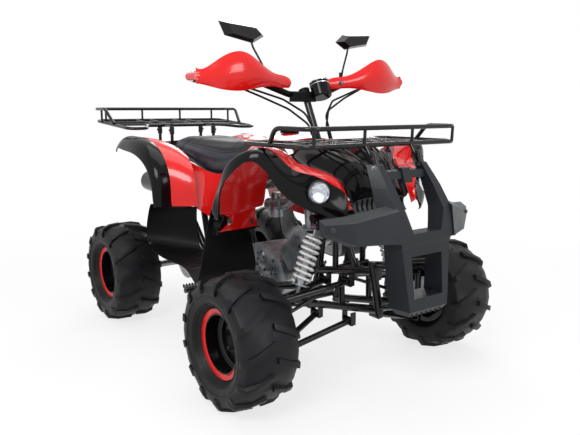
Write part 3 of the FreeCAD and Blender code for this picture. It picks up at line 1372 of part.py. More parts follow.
def bumper():
    parts = [both(tower()), lower_box()]
    levels = []
    for z_share, front, back, half in SILL_LEVEL_SHARES:
        levels.append(spots([(front, -half, z_share), (front, half, z_share), (back, half, z_share),
                             (back, -half, z_share)]))
    parts.append(level_loft(levels))
    for shares, half_share in ((CROSS_BAR_SHARES, CROSS_BAR_HALF_SHARE), (BLOCK_SHARES, BLOCK_HALF_SHARE)):
        half = S.body_width * half_share
        parts.append(prism(side_outline(shares, -half), Y * (half * 2)))
    wing = level_loft([spots(row) for row in WING_SHARES])
    parts.append(both(wing))
    return joined(*parts)


bumper_solid = bumper()
piece("bumper", bumper_solid)

# Racks: tube frames on posts
RACK_LOWER_SHARES = [(0.668, -0.311, 0.772), (0.334, -0.318, 0.772), (0.334, -0.240, 0.772),
    (0.430, -0.190, 0.772),
                     (0.430, 0.190, 0.772), (0.334, 0.240, 0.772), (0.334, 0.318, 0.772),
                     (0.668, 0.311, 0.772)]
RACK_UPPER_SHARES = [(0.490, -0.314, 0.772), (0.530, -0.322, 0.822), (0.670, -0.306, 0.822),
    (0.670, 0.306, 0.822),
                     (0.530, 0.322, 0.822), (0.490, 0.314, 0.772)]
THIN_TUBE_SHARE = 0.7


def loop_rack(points, bend):
    """A closed frame of tube: it starts and ends on the centre line."""
    middle = (points[0] + points[-1]) * HALF
    return tube([middle] + points + [middle], S.rack_tube_radius, bend)

RACK_CORNER = 3
DECK_ROD_SHARES = (0.055, 0.12, 0.185)
DECK_TUBE_SHARES = [(0.500, 0.312, 0), (0.580, 0.312, 0)]
UPRIGHT_SHARES = (0.10, 0.29)
RACK_POST_SHARES = (0.455, 0.060, 0.590)
RACK_BRACKET_SHARES = (0.713, 0.095, 0.708)


def on_side(shares, side):
    """The point given for the left side, on the given side."""
    along, across, up = shares
    return spot(along, across * side, up)


def front_rack():
    lower = spots(RACK_LOWER_SHARES)
    parts = [loop_rack(lower, S.rack_bend), tube(spots(RACK_UPPER_SHARES), S.rack_tube_radius, S.rack_bend)]
    low_z = lower[0].z
    upper = spots(RACK_UPPER_SHARES)[RACK_CORNER]
    thin = S.rack_tube_radius * THIN_TUBE_SHARE
    for side in (RIGHT, LEFT):
        for across_share in DECK_ROD_SHARES:
            start = Vector(lower[RACK_CORNER].x, S.body_width * across_share * side, low_z)
            parts.append(rod(start, Vector(lower[0].x, start.y, low_z), thin))
        for y_share in UPRIGHT_SHARES:
            top = Vector(upper.x, S.body_width * y_share * side, upper.z)
            parts.append(rod(Vector(lower[0].x, top.y, low_z), top, thin))
        post = on_side(RACK_POST_SHARES, side)
        parts.append(rod(post, Vector(post.x, post.y, low_z + thin * HALF), S.rack_tube_radius))
        bracket = on_side(RACK_BRACKET_SHARES, side)
        parts.append(rod(Vector(lower[0].x, bracket.y, low_z), bracket, S.rack_tube_radius))
    for end in spots(DECK_TUBE_SHARES):
        parts.append(cross_tube(Vector(end.x, end.y, low_z - thin * HALF), thin))
    return joined(*parts)


REAR_RACK_LOWER_SHARES = [(-0.887, -0.325, 0.822), (-0.530, -0.316, 0.794), (-0.530, -0.235, 0.794),
                          (-0.640, -0.190, 0.802), (-0.640, 0.190, 0.802), (-0.530, 0.235, 0.794),
                          (-0.530, 0.316, 0.794), (-0.887, 0.325, 0.822)]
REAR_RACK_UPPER_SHARES = [(-0.680, -0.322, 0.812), (-0.740, -0.336, 0.875), (-0.872, -0.336, 0.875),
                          (-0.872, 0.336, 0.875), (-0.740, 0.336, 0.875), (-0.680, 0.322, 0.812)]

REAR_ROD_SHARES = [(-0.640, 0.06, 0.802), (-0.640, 0.13, 0.802)]
REAR_UPRIGHT_SHARES = [(-0.880, 0.10, 0.822), (-0.880, 0.28, 0.822), (-0.800, 0.330, 0.815)]
REAR_POST_TOP_SHARES = [(-0.560, 0.105, 0.806), (-0.680, 0.105, 0.806)]
REAR_POST_FOOT_SHARE = 0.640
REAR_TUBE_SHARES = [(-0.680, 0.322, 0.806), (-0.780, 0.322, 0.813)]


def rear_rack():
    lower = spots(REAR_RACK_LOWER_SHARES)
    upper_z = spots(REAR_RACK_UPPER_SHARES)[RACK_CORNER].z
    parts = [loop_rack(lower, S.rack_bend), tube(spots(REAR_RACK_UPPER_SHARES), S.rack_tube_radius,
        S.rack_bend)]
    thin = S.rack_tube_radius * THIN_TUBE_SHARE
    for side in (RIGHT, LEFT):
        for shares in REAR_ROD_SHARES:
            front = on_side(shares, side)
            parts.append(rod(front, Vector(lower[0].x, front.y, lower[0].z), thin))
        for shares in REAR_UPRIGHT_SHARES:
            foot = on_side(shares, side)
            parts.append(rod(foot, Vector(foot.x, foot.y, upper_z), thin))
        tops = [on_side(shares, side) for shares in REAR_POST_TOP_SHARES]
        for top in tops:
            parts.append(rod(Vector(top.x, top.y, S.body_height * REAR_POST_FOOT_SHARE), top,
                S.rack_tube_radius))
        parts.append(rod(tops[0], tops[-1] + (tops[-1] - tops[0]).normalize() * S.rack_tube_radius,
                         S.rack_tube_radius))
    parts += [cross_tube(end, thin) for end in spots(REAR_TUBE_SHARES)]
    return joined(*parts)


# Lamps: a housing and a clear lens a side, and the tail lamp

LAMP_CENTRE_SHARES = (0.606, -0.222, 0.636)
LAMP_CENTRE = spot(*LAMP_CENTRE_SHARES)
LAMP_AIM_SHARES = (0.95, -0.26, 0.12)


def lamp_place(shape):
    """Puts a shape made along +X at the lamp, turned to where it faces."""
    copy = shape.copy()
    turn = Rotation(X, Vector(*LAMP_AIM_SHARES))
    copy.Placement = Placement(LAMP_CENTRE, turn)
    return copy

LENS_SHARE = 0.6
DOME_SHARE = 0.3


def headlamp():
    """Lens disc with a shallow dome."""
    lens = rod(ORIGIN, X * (S.lamp_depth * LENS_SHARE), S.lamp_radius)
    return lamp_place(lens.makeFillet(S.lamp_depth * DOME_SHARE, [lens.Edges[0]]))


def lamp_housing():
    """A cup round the lens, open to the front."""
    outer = S.lamp_radius + S.lamp_bezel
    cup = rod(X * -S.lamp_cup_depth, X * S.lamp_bezel, outer)
    return lamp_place(cup.cut(rod(X * -S.panel_wall, X * S.lamp_depth, S.lamp_radius + S.seat_gap)))


NOSE_SHARES = [
    [(0.636, -0.110, 0.604), (0.643, -0.055, 0.609), (0.646, 0, 0.611), (0.643, 0.055, 0.609),
    (0.636, 0.110, 0.604)],
    [(0.634, -0.108, 0.585), (0.638, -0.055, 0.585), (0.640, 0, 0.585), (0.638, 0.055, 0.585),
    (0.634, 0.108, 0.585)],
    [(0.650, -0.106, 0.562), (0.656, -0.055, 0.560), (0.660, 0, 0.559), (0.656, 0.055, 0.560),
    (0.650, 0.106, 0.562)]]
housing = lamp_housing()
lens = headlamp()
lamp_space = lamp_place(rod(X * -S.lamp_depth, X * S.lamp_cup_depth, S.lamp_radius + S.lamp_bezel))
flare_front = flare_front.cut(lamp_space)
piece("flares_front", both(flare_front))
piece("lamp_housings", both(housing))
piece("headlamps", both(lens))
REAR_CROSS = 3
rear_cross = spots(CROSS_SHARES)[REAR_CROSS]
tail_face = Vector(rear_cross.x - S.arm_tube_radius - S.seat_gap, 0, rear_cross.z)
piece("tail_lamp", rod(tail_face, tail_face - X * S.lamp_depth, S.lamp_radius))

# Handlebar group, which turns with the column

BAR_SHARES = [(0.225, -0.420, 0.975), (0.245, -0.200, 0.970), (0.260, -0.070, 0.925), (0.260, 0.070, 0.925),
              (0.245, 0.200, 0.970), (0.225, 0.420, 0.975)]

# Places of the lever's perch along the grip, and of the lever ahead of it
PERCH_SHARE = 1.15
PERCH_RADIUS_SHARE = 1.25
LEVER_START_SHARE = 1.6
LEVER_END_SHARE = 2.2


def handlebar():
    """The bent bar with a grip at each end, levers and the clamp on the column's top."""
    points = spots(BAR_SHARES)
    parts = [tube(points, S.bar_tube_radius, S.frame_bend)]
    for end, before in ((points[0], points[1]), (points[-1], points[-2])):
        along = (before - end).normalize()
        parts.append(rod(end, end + along * S.grip_length, S.grip_radius))
        perch = end + along * (S.grip_length * PERCH_SHARE)
        parts.append(rod(perch - along * S.grip_radius, perch + along * S.grip_radius,
            S.grip_radius * PERCH_RADIUS_SHARE))
        lever_start = perch + X * (S.grip_radius * LEVER_START_SHARE)
        lever_end = end + X * (S.grip_radius * LEVER_END_SHARE) + along * (S.grip_radius * 2)
        parts.append(rod(lever_start, lever_end, S.damper_rod_radius))
        parts.append(rod(perch, lever_start, S.lever_root_radius))
    clamp = column_at(points[2].z)
    parts.append(rod(clamp - COLUMN * S.steering_sleeve_radius, clamp + COLUMN * S.steering_sleeve_radius,
                     S.steering_sleeve_radius))
    body = joined(*parts)
    return body.cut(rod(COLUMN_FOOT, COLUMN_TOP + COLUMN * S.bush_length, S.steering_radius))


bar = handlebar()
piece("handlebar", bar)

GUARD_SHARES = [
    [(0.285, -0.440, 1.000), (0.300, -0.380, 1.020), (0.318, -0.290, 1.052), (0.312, -0.220, 1.020),
     (0.296, -0.150, 0.990), (0.280, -0.085, 0.978)],
    [(0.292, -0.442, 0.975), (0.312, -0.380, 0.978), (0.332, -0.290, 0.992), (0.324, -0.220, 0.982),
     (0.304, -0.150, 0.968), (0.286, -0.080, 0.962)],
    [(0.285, -0.440, 0.952), (0.300, -0.380, 0.940), (0.316, -0.290, 0.933), (0.310, -0.220, 0.944),
     (0.296, -0.150, 0.948), (0.280, -0.085, 0.946)]]

GUARD_OUTER_SHARES = [(0.226, -0.432, 0.975), (0.292, -0.436, 0.975)]
GUARD_INNER_SHARES = [(0.252, -0.105, 0.940), (0.284, -0.100, 0.962)]


def hand_guard():
    """A curved shield with a bracket back to the bar at each end."""
    shield = share_skin(GUARD_SHARES, S.panel_wall)
    outer = rod(*spots(GUARD_OUTER_SHARES), S.guard_stay_radius)
    inner = rod(*spots(GUARD_INNER_SHARES), S.damper_rod_radius)
    return joined(shield, outer, inner)


MIRROR_SHARES = [(0.235, -0.156, 1.112), (0.235, -0.190, 1.140), (0.235, -0.329, 1.150),
    (0.235, -0.307, 1.107),
                 (0.235, -0.200, 1.088)]
MIRROR_STEM_SHARES = [(0.247, -0.174, 0.972), (0.257, -0.174, 1.016), (0.244, -0.205, 1.075),
    (0.240, -0.215, 1.110)]

MIRROR_CENTRE_SHARES = (0.235, -0.235, 1.122)
MIRROR_BACK_SHARE = 0.72


def mirror():
    outline = spots(MIRROR_SHARES)
    centre = spot(*MIRROR_CENTRE_SHARES)
    back = [centre + (point - centre) * MIRROR_BACK_SHARE + X * S.mirror_depth for point in outline]
    shell = Part.makeLoft([Part.makePolygon(ring + [ring[0]]) for ring in (outline, back)], True, True)
    stem = tube(spots(MIRROR_STEM_SHARES), S.mirror_stem_radius, S.rack_bend)
    foot = spots(MIRROR_STEM_SHARES)[0]
    socket = rod(foot, foot + Z * S.bush_length, S.mirror_stem_radius * 2)
    return joined(shell, stem, socket)


piece("mirrors", both(mirror()).cut(bar))

# Cables from the levers to the column and down it, right side and left side
CABLE_SHARES = [
    [(0.250, -0.290, 0.958), (0.266, -0.215, 0.938), (0.280, -0.110, 0.908), (0.318, -0.045, 0.862),
     (0.376, -0.028, 0.770), (0.400, -0.026, 0.700)],
    [(0.246, -0.275, 0.950), (0.260, -0.190, 0.918), (0.284, -0.090, 0.876), (0.330, -0.040, 0.825),
     (0.372, -0.034, 0.735)],
    [(0.250, 0.290, 0.958), (0.266, 0.210, 0.936), (0.282, 0.105, 0.904), (0.322, 0.042, 0.852),
     (0.378, 0.028, 0.760), (0.402, 0.024, 0.700)],
    [(0.246, 0.275, 0.950), (0.260, 0.180, 0.914), (0.284, 0.086, 0.872), (0.328, 0.040, 0.820),
     (0.372, 0.032, 0.735)]]

METER_FOOT_SHARES = (0.300, 0.045, 0.915)
METER_FOOT = spot(*METER_FOOT_SHARES)
METER_AXIS_SHARES = (-0.42, 0.05, 0.90)
meter_axis = Vector(*METER_AXIS_SHARES).normalize()
meter = rod(METER_FOOT, METER_FOOT + meter_axis * S.speedometer_length, S.speedometer_radius)
meter = meter.makeFillet(S.lamp_bezel, meter.Edges)
piece("hand_guards", both(hand_guard()).cut(bar).cut(meter))
piece("speedometer", meter.cut(bar))

PAD_ACROSS_SHARES = (-0.070, 0.030)
PAD_SHARES = [(0.262, 0.900), (0.284, 0.900), (0.284, 0.932), (0.262, 0.932)]
cables = [tube(spots(route), S.cable_radius, S.cable_bend) for route in CABLE_SHARES]
piece("cables", Part.makeCompound([cable.cut(bar).cut(meter) for cable in cables]))
pad_low, pad_high = [S.body_width * share for share in PAD_ACROSS_SHARES]
pad = prism(side_outline(PAD_SHARES, pad_low), Y * (pad_high - pad_low))
column_space = rod(COLUMN_FOOT, COLUMN_TOP + COLUMN * S.bush_length, S.steering_radius + S.seat_gap)
piece("bar_pad", pad.cut(bar).cut(meter).cut(column_space))

# Stubs from the frame to what it carries, then the frame in its two lengths
STUB_SHARES = [((0.125, 0.070, 0.630), (0.125, 0.160, 0.695), tank_cover),
               ((-0.295, 0.108, 0.545), (-0.295, 0.100, 0.665), saddle),
               ((-0.040, 0.086, 0.585), (-0.040, 0.072, 0.670), saddle),
               ((-0.460, 0.105, 0.632), (-0.460, 0.105, 0.700), saddle),
               ((0.050, 0.078, 0.606), (0.050, 0.215, 0.560), side_cover),
               ((-0.200, 0.102, 0.550), (-0.200, 0.220, 0.545), side_cover),
               ((0.455, 0.060, 0.573), (0.462, 0.210, 0.752), hood_shell),
               ((-0.420, 0.106, 0.607), (-0.420, 0.215, 0.750), fender_rear),
               ((0.500, 0.060, 0.520), (0.590, 0.216, 0.634), both(housing)),
               ((0.700, 0.060, 0.278), (0.820, 0.088, 0.316), bumper_solid),
               ((0.672, 0.060, 0.402), (0.815, 0.092, 0.430), bumper_solid),
               ((0.040, 0.108, 0.205), (0.040, 0.030, 0.216), case),
               ((0.190, 0.108, 0.205), (0.190, 0.030, 0.225), case)]
frame_with_stubs = joined(frame, *[both(stub(spot(*start), spot(*end), other)) for start, end,
    other in STUB_SHARES])
front_space = Part.makeBox(far, far, far, Vector(spot(FRONT_SPLIT_SHARE, 0, 0).x, -far * HALF, 0))
piece("frame_front", frame_with_stubs.common(front_space))
piece("frame_main", frame_with_stubs.cut(front_space))

front_carrier = front_rack().cut(bumper_solid).cut(frame_with_stubs)
rear_carrier = rear_rack().cut(frame)
piece("rack_front", front_carrier)
piece("rack_rear", rear_carrier)
hood = hood_shell.cut(front_carrier).cut(both(fender_front)).cut(both(stripe))
piece("hood", hood)
piece("nose", share_skin(NOSE_SHARES, S.panel_wall).cut(hood).cut(both(stripe)))
piece("tail_cover", share_skin(TAIL_SHARES, S.panel_wall).cut(rear_carrier))


# Check every object and write the files

doc.recompute()
for item in doc.Objects:
    bad = [state for state in item.State if state in ("Invalid", "Error")]
    if bad:
        raise RuntimeError(f"{item.Label} is {bad}")
broken = [item.Label for item in pieces if item.Shape.isNull() or not item.Shape.isValid()]
if broken:
    raise RuntimeError(f"no valid shape: {broken}")

os.makedirs("parts", exist_ok=True)
for item in pieces:
    item.Shape.exportStep(f"parts/{item.Label}.step")
print(f"{len(pieces)} sub-parts written")
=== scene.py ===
"""Looks of the quad bike: materials, seat, small fittings, stage, light and camera."""

import json
import math

import bmesh
import bpy
from mathutils import Matrix, Vector


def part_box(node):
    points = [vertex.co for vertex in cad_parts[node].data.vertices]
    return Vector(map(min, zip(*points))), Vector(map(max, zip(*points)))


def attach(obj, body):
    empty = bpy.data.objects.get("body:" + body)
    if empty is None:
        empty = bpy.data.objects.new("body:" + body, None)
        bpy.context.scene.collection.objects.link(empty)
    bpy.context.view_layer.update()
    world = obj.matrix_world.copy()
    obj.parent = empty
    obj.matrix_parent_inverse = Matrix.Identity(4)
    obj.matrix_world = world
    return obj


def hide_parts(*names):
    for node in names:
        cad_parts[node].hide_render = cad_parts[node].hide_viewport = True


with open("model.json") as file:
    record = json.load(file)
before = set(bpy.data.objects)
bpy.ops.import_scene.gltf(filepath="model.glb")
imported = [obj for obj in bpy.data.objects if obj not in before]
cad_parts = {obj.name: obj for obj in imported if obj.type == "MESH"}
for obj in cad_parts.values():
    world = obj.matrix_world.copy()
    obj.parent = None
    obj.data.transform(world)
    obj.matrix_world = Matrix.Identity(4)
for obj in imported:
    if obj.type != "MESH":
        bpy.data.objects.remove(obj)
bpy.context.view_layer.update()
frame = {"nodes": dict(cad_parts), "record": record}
nodes = frame["nodes"]

FORWARD, LEFTWARD, UPWARD = Vector((1, 0, 0)), Vector((0, 1, 0)), Vector((0, 0, 1))
WHITE = (1, 1, 1, 1)

# Materials ----------------------------------------------------------------------------------------

SRGB_TOP = 255
SRGB_KNEE, SRGB_SLOPE, SRGB_OFFSET, SRGB_GAMMA = 0.04045, 12.92, 0.055, 2.4


def linear(red, green, blue):
    """A colour given as it looks on screen, 0 to 255."""
    def part(value):
        value /= SRGB_TOP
        if value <= SRGB_KNEE:
            return value / SRGB_SLOPE
        return ((value + SRGB_OFFSET) / (1 + SRGB_OFFSET)) ** SRGB_GAMMA
    return part(red), part(green), part(blue), 1.0


def blend_colour(colour, share):
    """Lighter for a share above 1, darker below it."""
    return tuple(min(1.0, channel * share) for channel in colour[:3]) + (1.0,)


COAT_ROUGHNESS = 0.06
ROUGHNESS_LEAST = 0.02
MOTTLE_FROM, MOTTLE_TO = 0.35, 0.68


class Surface:
    """A node material: two tones mottled by noise, a grain for the bump and a patchy roughness."""

    def __init__(self, name, colour, roughness, metallic=0.0, coat=0.0, specular=0.5):
        self.material = bpy.data.materials.new(name)
        self.material.use_nodes = True
        tree = self.material.node_tree
        self.nodes, self.links = tree.nodes, tree.links
        self.shader = self.nodes["Principled BSDF"]
        self.shader.inputs["Metallic"].default_value = metallic
        self.shader.inputs["Coat Weight"].default_value = coat
        self.shader.inputs["Coat Roughness"].default_value = COAT_ROUGHNESS
        self.shader.inputs["Specular IOR Level"].default_value = specular
        self.shader.inputs["Base Color"].default_value = colour
        self.shader.inputs["Roughness"].default_value = roughness
        self.colour, self.roughness = colour, roughness
        self.place = self.nodes.new("ShaderNodeTexCoord").outputs["Object"]
        self.normal = None

    def noise(self, scale, detail=3.0, stretch=None):
        """A noise value, drawn out along an axis where a stretch is given."""
        node = self.nodes.new("ShaderNodeTexNoise")
        node.inputs["Scale"].default_value = scale
        node.inputs["Detail"].default_value = detail
        place = self.place
        if stretch:
            mapping = self.nodes.new("ShaderNodeMapping")
            mapping.inputs["Scale"].default_value = stretch
            self.links.new(place, mapping.inputs["Vector"])
            place = mapping.outputs["Vector"]
        self.links.new(place, node.inputs["Vector"])
        return node.outputs["Fac"]

    def mottled(self, scale, spread):
        """The base colour wanders between two tones."""
        ramp = self.nodes.new("ShaderNodeValToRGB")
        dark, light = ramp.color_ramp.elements
        dark.position, light.position = MOTTLE_FROM, MOTTLE_TO
        dark.color = blend_colour(self.colour, 1 - spread)
        light.color = blend_colour(self.colour, 1 + spread)
        self.links.new(self.noise(scale), ramp.inputs["Fac"])
        self.links.new(ramp.outputs["Color"], self.shader.inputs["Base Color"])
        return self

    def patchy(self, scale, spread):
        """The roughness wanders about its value."""
        span = self.nodes.new("ShaderNodeMapRange")
        span.inputs["To Min"].default_value = max(ROUGHNESS_LEAST, self.roughness - spread)
        span.inputs["To Max"].default_value = min(1.0, self.roughness + spread)
        self.links.new(self.noise(scale), span.inputs["Value"])
        self.links.new(span.outputs["Result"], self.shader.inputs["Roughness"])
        return self

    def bumped(self, height, strength, distance):
        """A bump laid over those already there."""
        node = self.nodes.new("ShaderNodeBump")
        node.inputs["Strength"].default_value = strength
        node.inputs["Distance"].default_value = distance
        self.links.new(height, node.inputs["Height"])
        if self.normal:
            self.links.new(self.normal, node.inputs["Normal"])
        self.normal = node.outputs["Normal"]
        self.links.new(self.normal, self.shader.inputs["Normal"])
        return self

    def grained(self, scale, strength, distance=0.0004, detail=4.0, stretch=None):
        """A fine noise bump."""
        return self.bumped(self.noise(scale, detail, stretch), strength, distance)

    def cells(self, scale, strength, distance=0.0004):
        """A bump of small cells, as on leather or a lens."""
        node = self.nodes.new("ShaderNodeTexVoronoi")
        node.inputs["Scale"].default_value = scale
        self.links.new(self.place, node.inputs["Vector"])
        return self.bumped(node.outputs["Distance"], strength, distance)

    def clear(self, share, ior):
        """Lets a share of the light through."""
        self.shader.inputs["Transmission Weight"].default_value = share
        self.shader.inputs["IOR"].default_value = ior
        return self


red_plastic = Surface("red_plastic", linear(214, 12, 8), roughness=0.20, coat=0.35, specular=0.3)
red_plastic.mottled(scale=3, spread=0.05).patchy(scale=40, spread=0.05).grained(scale=900, strength=0.05)
black_gloss = Surface("black_gloss", linear(10, 10, 12), roughness=0.14, coat=0.1, specular=0.12)
black_gloss.mottled(scale=4, spread=0.2).patchy(scale=30, spread=0.05).grained(scale=700, strength=0.05)
bumper_plastic = Surface("bumper_plastic", linear(20, 23, 29), roughness=0.40, specular=0.3)
bumper_plastic.mottled(scale=9, spread=0.10).patchy(scale=30, spread=0.08)
bumper_plastic.grained(scale=1400, strength=0.35, distance=0.0005)
black_plastic = Surface("black_plastic", linear(6, 6, 7), roughness=0.45, specular=0.1)
black_plastic.mottled(scale=8, spread=0.2).patchy(scale=30, spread=0.1).grained(scale=1200, strength=0.3)
lip_plastic = Surface("lip_plastic", linear(58, 60, 64), roughness=0.42, specular=0.4)
lip_plastic.mottled(scale=14, spread=0.12).patchy(scale=40, spread=0.08).grained(scale=1300, strength=0.3)
black_metal = Surface("black_metal", linear(9, 9, 10), roughness=0.24, coat=0.2, specular=0.25)
black_metal.mottled(scale=20, spread=0.2).patchy(scale=60, spread=0.08)
black_metal.grained(scale=800, strength=0.15, distance=0.0003)
red_metal = Surface("red_metal", linear(206, 14, 8), roughness=0.28, coat=0.3, specular=0.3)
red_metal.mottled(scale=10, spread=0.06).grained(scale=900, strength=0.1)
tyre_rubber = Surface("tyre_rubber", linear(11, 12, 15), roughness=0.48, specular=0.22)
tyre_rubber.mottled(scale=18, spread=0.22).patchy(scale=60, spread=0.1)
tyre_rubber.grained(scale=420, strength=0.35, distance=0.0006)
seat_top = Surface("seat_top", linear(20, 20, 22), roughness=0.55, specular=0.3)
seat_top.mottled(scale=12, spread=0.15).patchy(scale=25, spread=0.08)
seat_top.cells(scale=420, strength=0.4, distance=0.0005)
seat_side = Surface("seat_side", linear(20, 24, 38), roughness=0.34, coat=0.2, specular=0.35)
seat_side.mottled(scale=14, spread=0.12).patchy(scale=30, spread=0.08).cells(scale=520, strength=0.3)
cast_metal = Surface("cast_metal", linear(150, 154, 158), roughness=0.36, metallic=0.9)
cast_metal.mottled(scale=22, spread=0.30).patchy(scale=50, spread=0.12)
cast_metal.grained(scale=520, strength=0.5, distance=0.0006)
steel = Surface("steel", linear(140, 142, 146), roughness=0.32, metallic=1.0)
steel.mottled(scale=30, spread=0.15).patchy(scale=80, spread=0.1)
steel.grained(scale=900, strength=0.25, distance=0.0003, stretch=(1, 0.2, 1))
dark_steel = Surface("dark_steel", linear(66, 66, 70), roughness=0.34, metallic=0.9)
dark_steel.mottled(scale=40, spread=0.2).patchy(scale=90, spread=0.1)
dark_steel.grained(scale=900, strength=0.2, distance=0.0003)
chrome = Surface("chrome", linear(206, 208, 212), roughness=0.08, metallic=1.0)
chrome.mottled(scale=6, spread=0.03).patchy(scale=40, spread=0.03)
mirror_glass = Surface("mirror_glass", linear(214, 218, 222), roughness=0.03, metallic=1.0)
mirror_glass.mottled(scale=3, spread=0.01)
spring_white = Surface("spring_white", linear(222, 222, 220), roughness=0.3, coat=0.3)
spring_white.mottled(scale=20, spread=0.05).grained(scale=600, strength=0.1)
grip_rubber = Surface("grip_rubber", linear(12, 12, 13), roughness=0.7, specular=0.25)
grip_rubber.mottled(scale=30, spread=0.2).cells(scale=300, strength=0.5, distance=0.0006)
lens_red = Surface("lens_red", linear(150, 8, 8), roughness=0.12, coat=0.6)
lens_red.mottled(scale=60, spread=0.3).cells(scale=260, strength=0.3, distance=0.0006)
lens_clear = Surface("clear_lens", linear(245, 248, 252), roughness=0.04)
lens_clear.clear(share=0.9, ior=1.45).cells(scale=90, strength=0.25, distance=0.0008)

NODE_SURFACES = {
    "red_plastic": red_plastic, "black_gloss": black_gloss, "bumper_plastic": bumper_plastic,
    "black_plastic": black_plastic, "black_metal": black_metal, "red_metal": red_metal,
    "tyre": tyre_rubber, "seat_cover": seat_side, "cast_metal": cast_metal, "steel": steel,
    "chrome": chrome, "spring_white": spring_white, "lens": lens_clear, "lens_red": lens_red}
SMOOTH_ANGLE = math.radians(32)


def dress(obj, surface):
    """The object wears one material."""
    obj.data.materials.clear()
    obj.data.materials.append(surface.material)


def smoothed(mesh, angle=SMOOTH_ANGLE):
    """Smooth shading with sharp edges above an angle."""
    mesh.shade_smooth()
    mesh.set_sharp_from_angle(angle=angle)


for subpart in frame["record"]["subparts"]:
    node = nodes[subpart["node"]]
    dress(node, NODE_SURFACES[subpart["material_slot"]])
    smoothed(node.data)
dress(nodes["nose"], lip_plastic)
dress(nodes["speedometer"], black_gloss)

# Camera, light and stage --------------------------------------------------------------------------

CAMERA_PLACE = Vector((2.061, -1.395, 0.879))
CAMERA_YAW = math.radians(143.22)
CAMERA_PITCH = math.radians(-9.71)
CAMERA_LENS = 39.69
SENSOR_WIDTH = 36.0
PHOTO_WIDTH, PHOTO_HEIGHT = 580, 435
LOOK = Vector((math.cos(CAMERA_YAW) * math.cos(CAMERA_PITCH),
               math.sin(CAMERA_YAW) * math.cos(CAMERA_PITCH), math.sin(CAMERA_PITCH)))
LOOK_RIGHT = LOOK.cross(UPWARD).normalized()
LOOK_UP = LOOK_RIGHT.cross(LOOK)

# Each lamp: name, place, width and height, power in watts.
LAMPS = [("key", (1.8, -2.6, 2.8), (1.8, 1.2), 80), ("front", (3.4, 0.4, 1.6), (1.2, 1.2), 30),
         ("top", (-0.2, 0.2, 3.4), (3.0, 2.4), 48), ("rim", (-2.6, 2.2, 2.2), (1.8, 1.4), 36)]
LAMP_TARGET = Vector((0, 0, 0.4))
WORLD_STRENGTH = 0.42
FLOOR_SIZE = 60
FLOOR_WHITE_NEAR = 0.75
FLOOR_NEAR, FLOOR_FAR = 1.0, 2.6


def make_camera():
    """The camera that was fitted to the photograph."""
    data = bpy.data.cameras.new("camera")
    data.lens = CAMERA_LENS
    data.sensor_width = SENSOR_WIDTH
    camera = bpy.data.objects.new("camera", data)
    bpy.context.scene.collection.objects.link(camera)
    turn = Matrix((LOOK_RIGHT, LOOK_UP, -LOOK)).transposed().to_4x4()
    camera.matrix_world = Matrix.Translation(CAMERA_PLACE) @ turn
    bpy.context.scene.camera = camera


def soft_lamp(name, place, size, power):
    """A rectangular lamp that faces the bike's middle."""
    data = bpy.data.lights.new(name, "AREA")
    data.shape = "RECTANGLE"
    data.size, data.size_y = size
    data.energy = power
    lamp = bpy.data.objects.new(name, data)
    bpy.context.scene.collection.objects.link(lamp)
    lamp.location = place
    lamp.rotation_euler = (LAMP_TARGET - Vector(place)).to_track_quat("-Z", "Y").to_euler()


def background_rays(shader_nodes, links):
    """1 for camera, mirror and glass rays, and 0 for all others."""
    rays = shader_nodes.new("ShaderNodeLightPath")
    seen = rays.outputs["Is Camera Ray"]
    for name in ("Is Glossy Ray", "Is Transmission Ray"):
        either = shader_nodes.new("ShaderNodeMath")
        either.operation = "MAXIMUM"
        links.new(seen, either.inputs[0])
        links.new(rays.outputs[name], either.inputs[1])
        seen = either.outputs["Value"]
    return seen


def mix_white(shader_nodes, links, glow_type, share, plain, output):
    """White takes the place of the plain shader by a share."""
    glow = shader_nodes.new(glow_type)
    glow.inputs["Strength"].default_value = 1.0
    glow.inputs["Color"].default_value = WHITE
    mix = shader_nodes.new("ShaderNodeMixShader")
    links.new(share, mix.inputs["Fac"])
    links.new(plain, mix.inputs[1])
    links.new(glow.outputs[0], mix.inputs[2])
    links.new(mix.outputs["Shader"], output.inputs["Surface"])


def whiten_floor(surface):
    """White like the backdrop, but less so near the bike, so that its shadow stays."""
    shader_nodes, links = surface.nodes, surface.links
    away = shader_nodes.new("ShaderNodeVectorMath")
    away.operation = "LENGTH"
    links.new(surface.place, away.inputs[0])
    share = shader_nodes.new("ShaderNodeMapRange")
    share.inputs["From Min"].default_value = FLOOR_NEAR
    share.inputs["From Max"].default_value = FLOOR_FAR
    share.inputs["To Min"].default_value = FLOOR_WHITE_NEAR
    share.inputs["To Max"].default_value = 1.0
    links.new(away.outputs["Value"], share.inputs["Value"])
    weight = shader_nodes.new("ShaderNodeMath")
    weight.operation = "MULTIPLY"
    links.new(background_rays(shader_nodes, links), weight.inputs[0])
    links.new(share.outputs["Result"], weight.inputs[1])
    mix_white(shader_nodes, links, "ShaderNodeEmission", weight.outputs["Value"],
              surface.shader.outputs[0], shader_nodes["Material Output"])


def make_stage():
    """The white world and floor."""
    world = bpy.data.worlds.new("world")
    bpy.context.scene.world = world
    world.use_nodes = True
    tree = world.node_tree
    background = tree.nodes["Background"]
    background.inputs["Color"].default_value = WHITE
    background.inputs["Strength"].default_value = WORLD_STRENGTH
    mix_white(tree.nodes, tree.links, "ShaderNodeBackground", background_rays(tree.nodes, tree.links),
              background.outputs[0], tree.nodes["World Output"])
    bpy.ops.mesh.primitive_plane_add(size=FLOOR_SIZE, location=(0, 0, 0))
    floor = bpy.context.object
    floor.name = "floor"
    surface = Surface("floor_white", linear(240, 240, 240), roughness=0.85)
    surface.mottled(scale=2, spread=0.01)
    dress(floor, surface)
    whiten_floor(surface)


# Geometry of the added pieces ---------------------------------------------------------------------

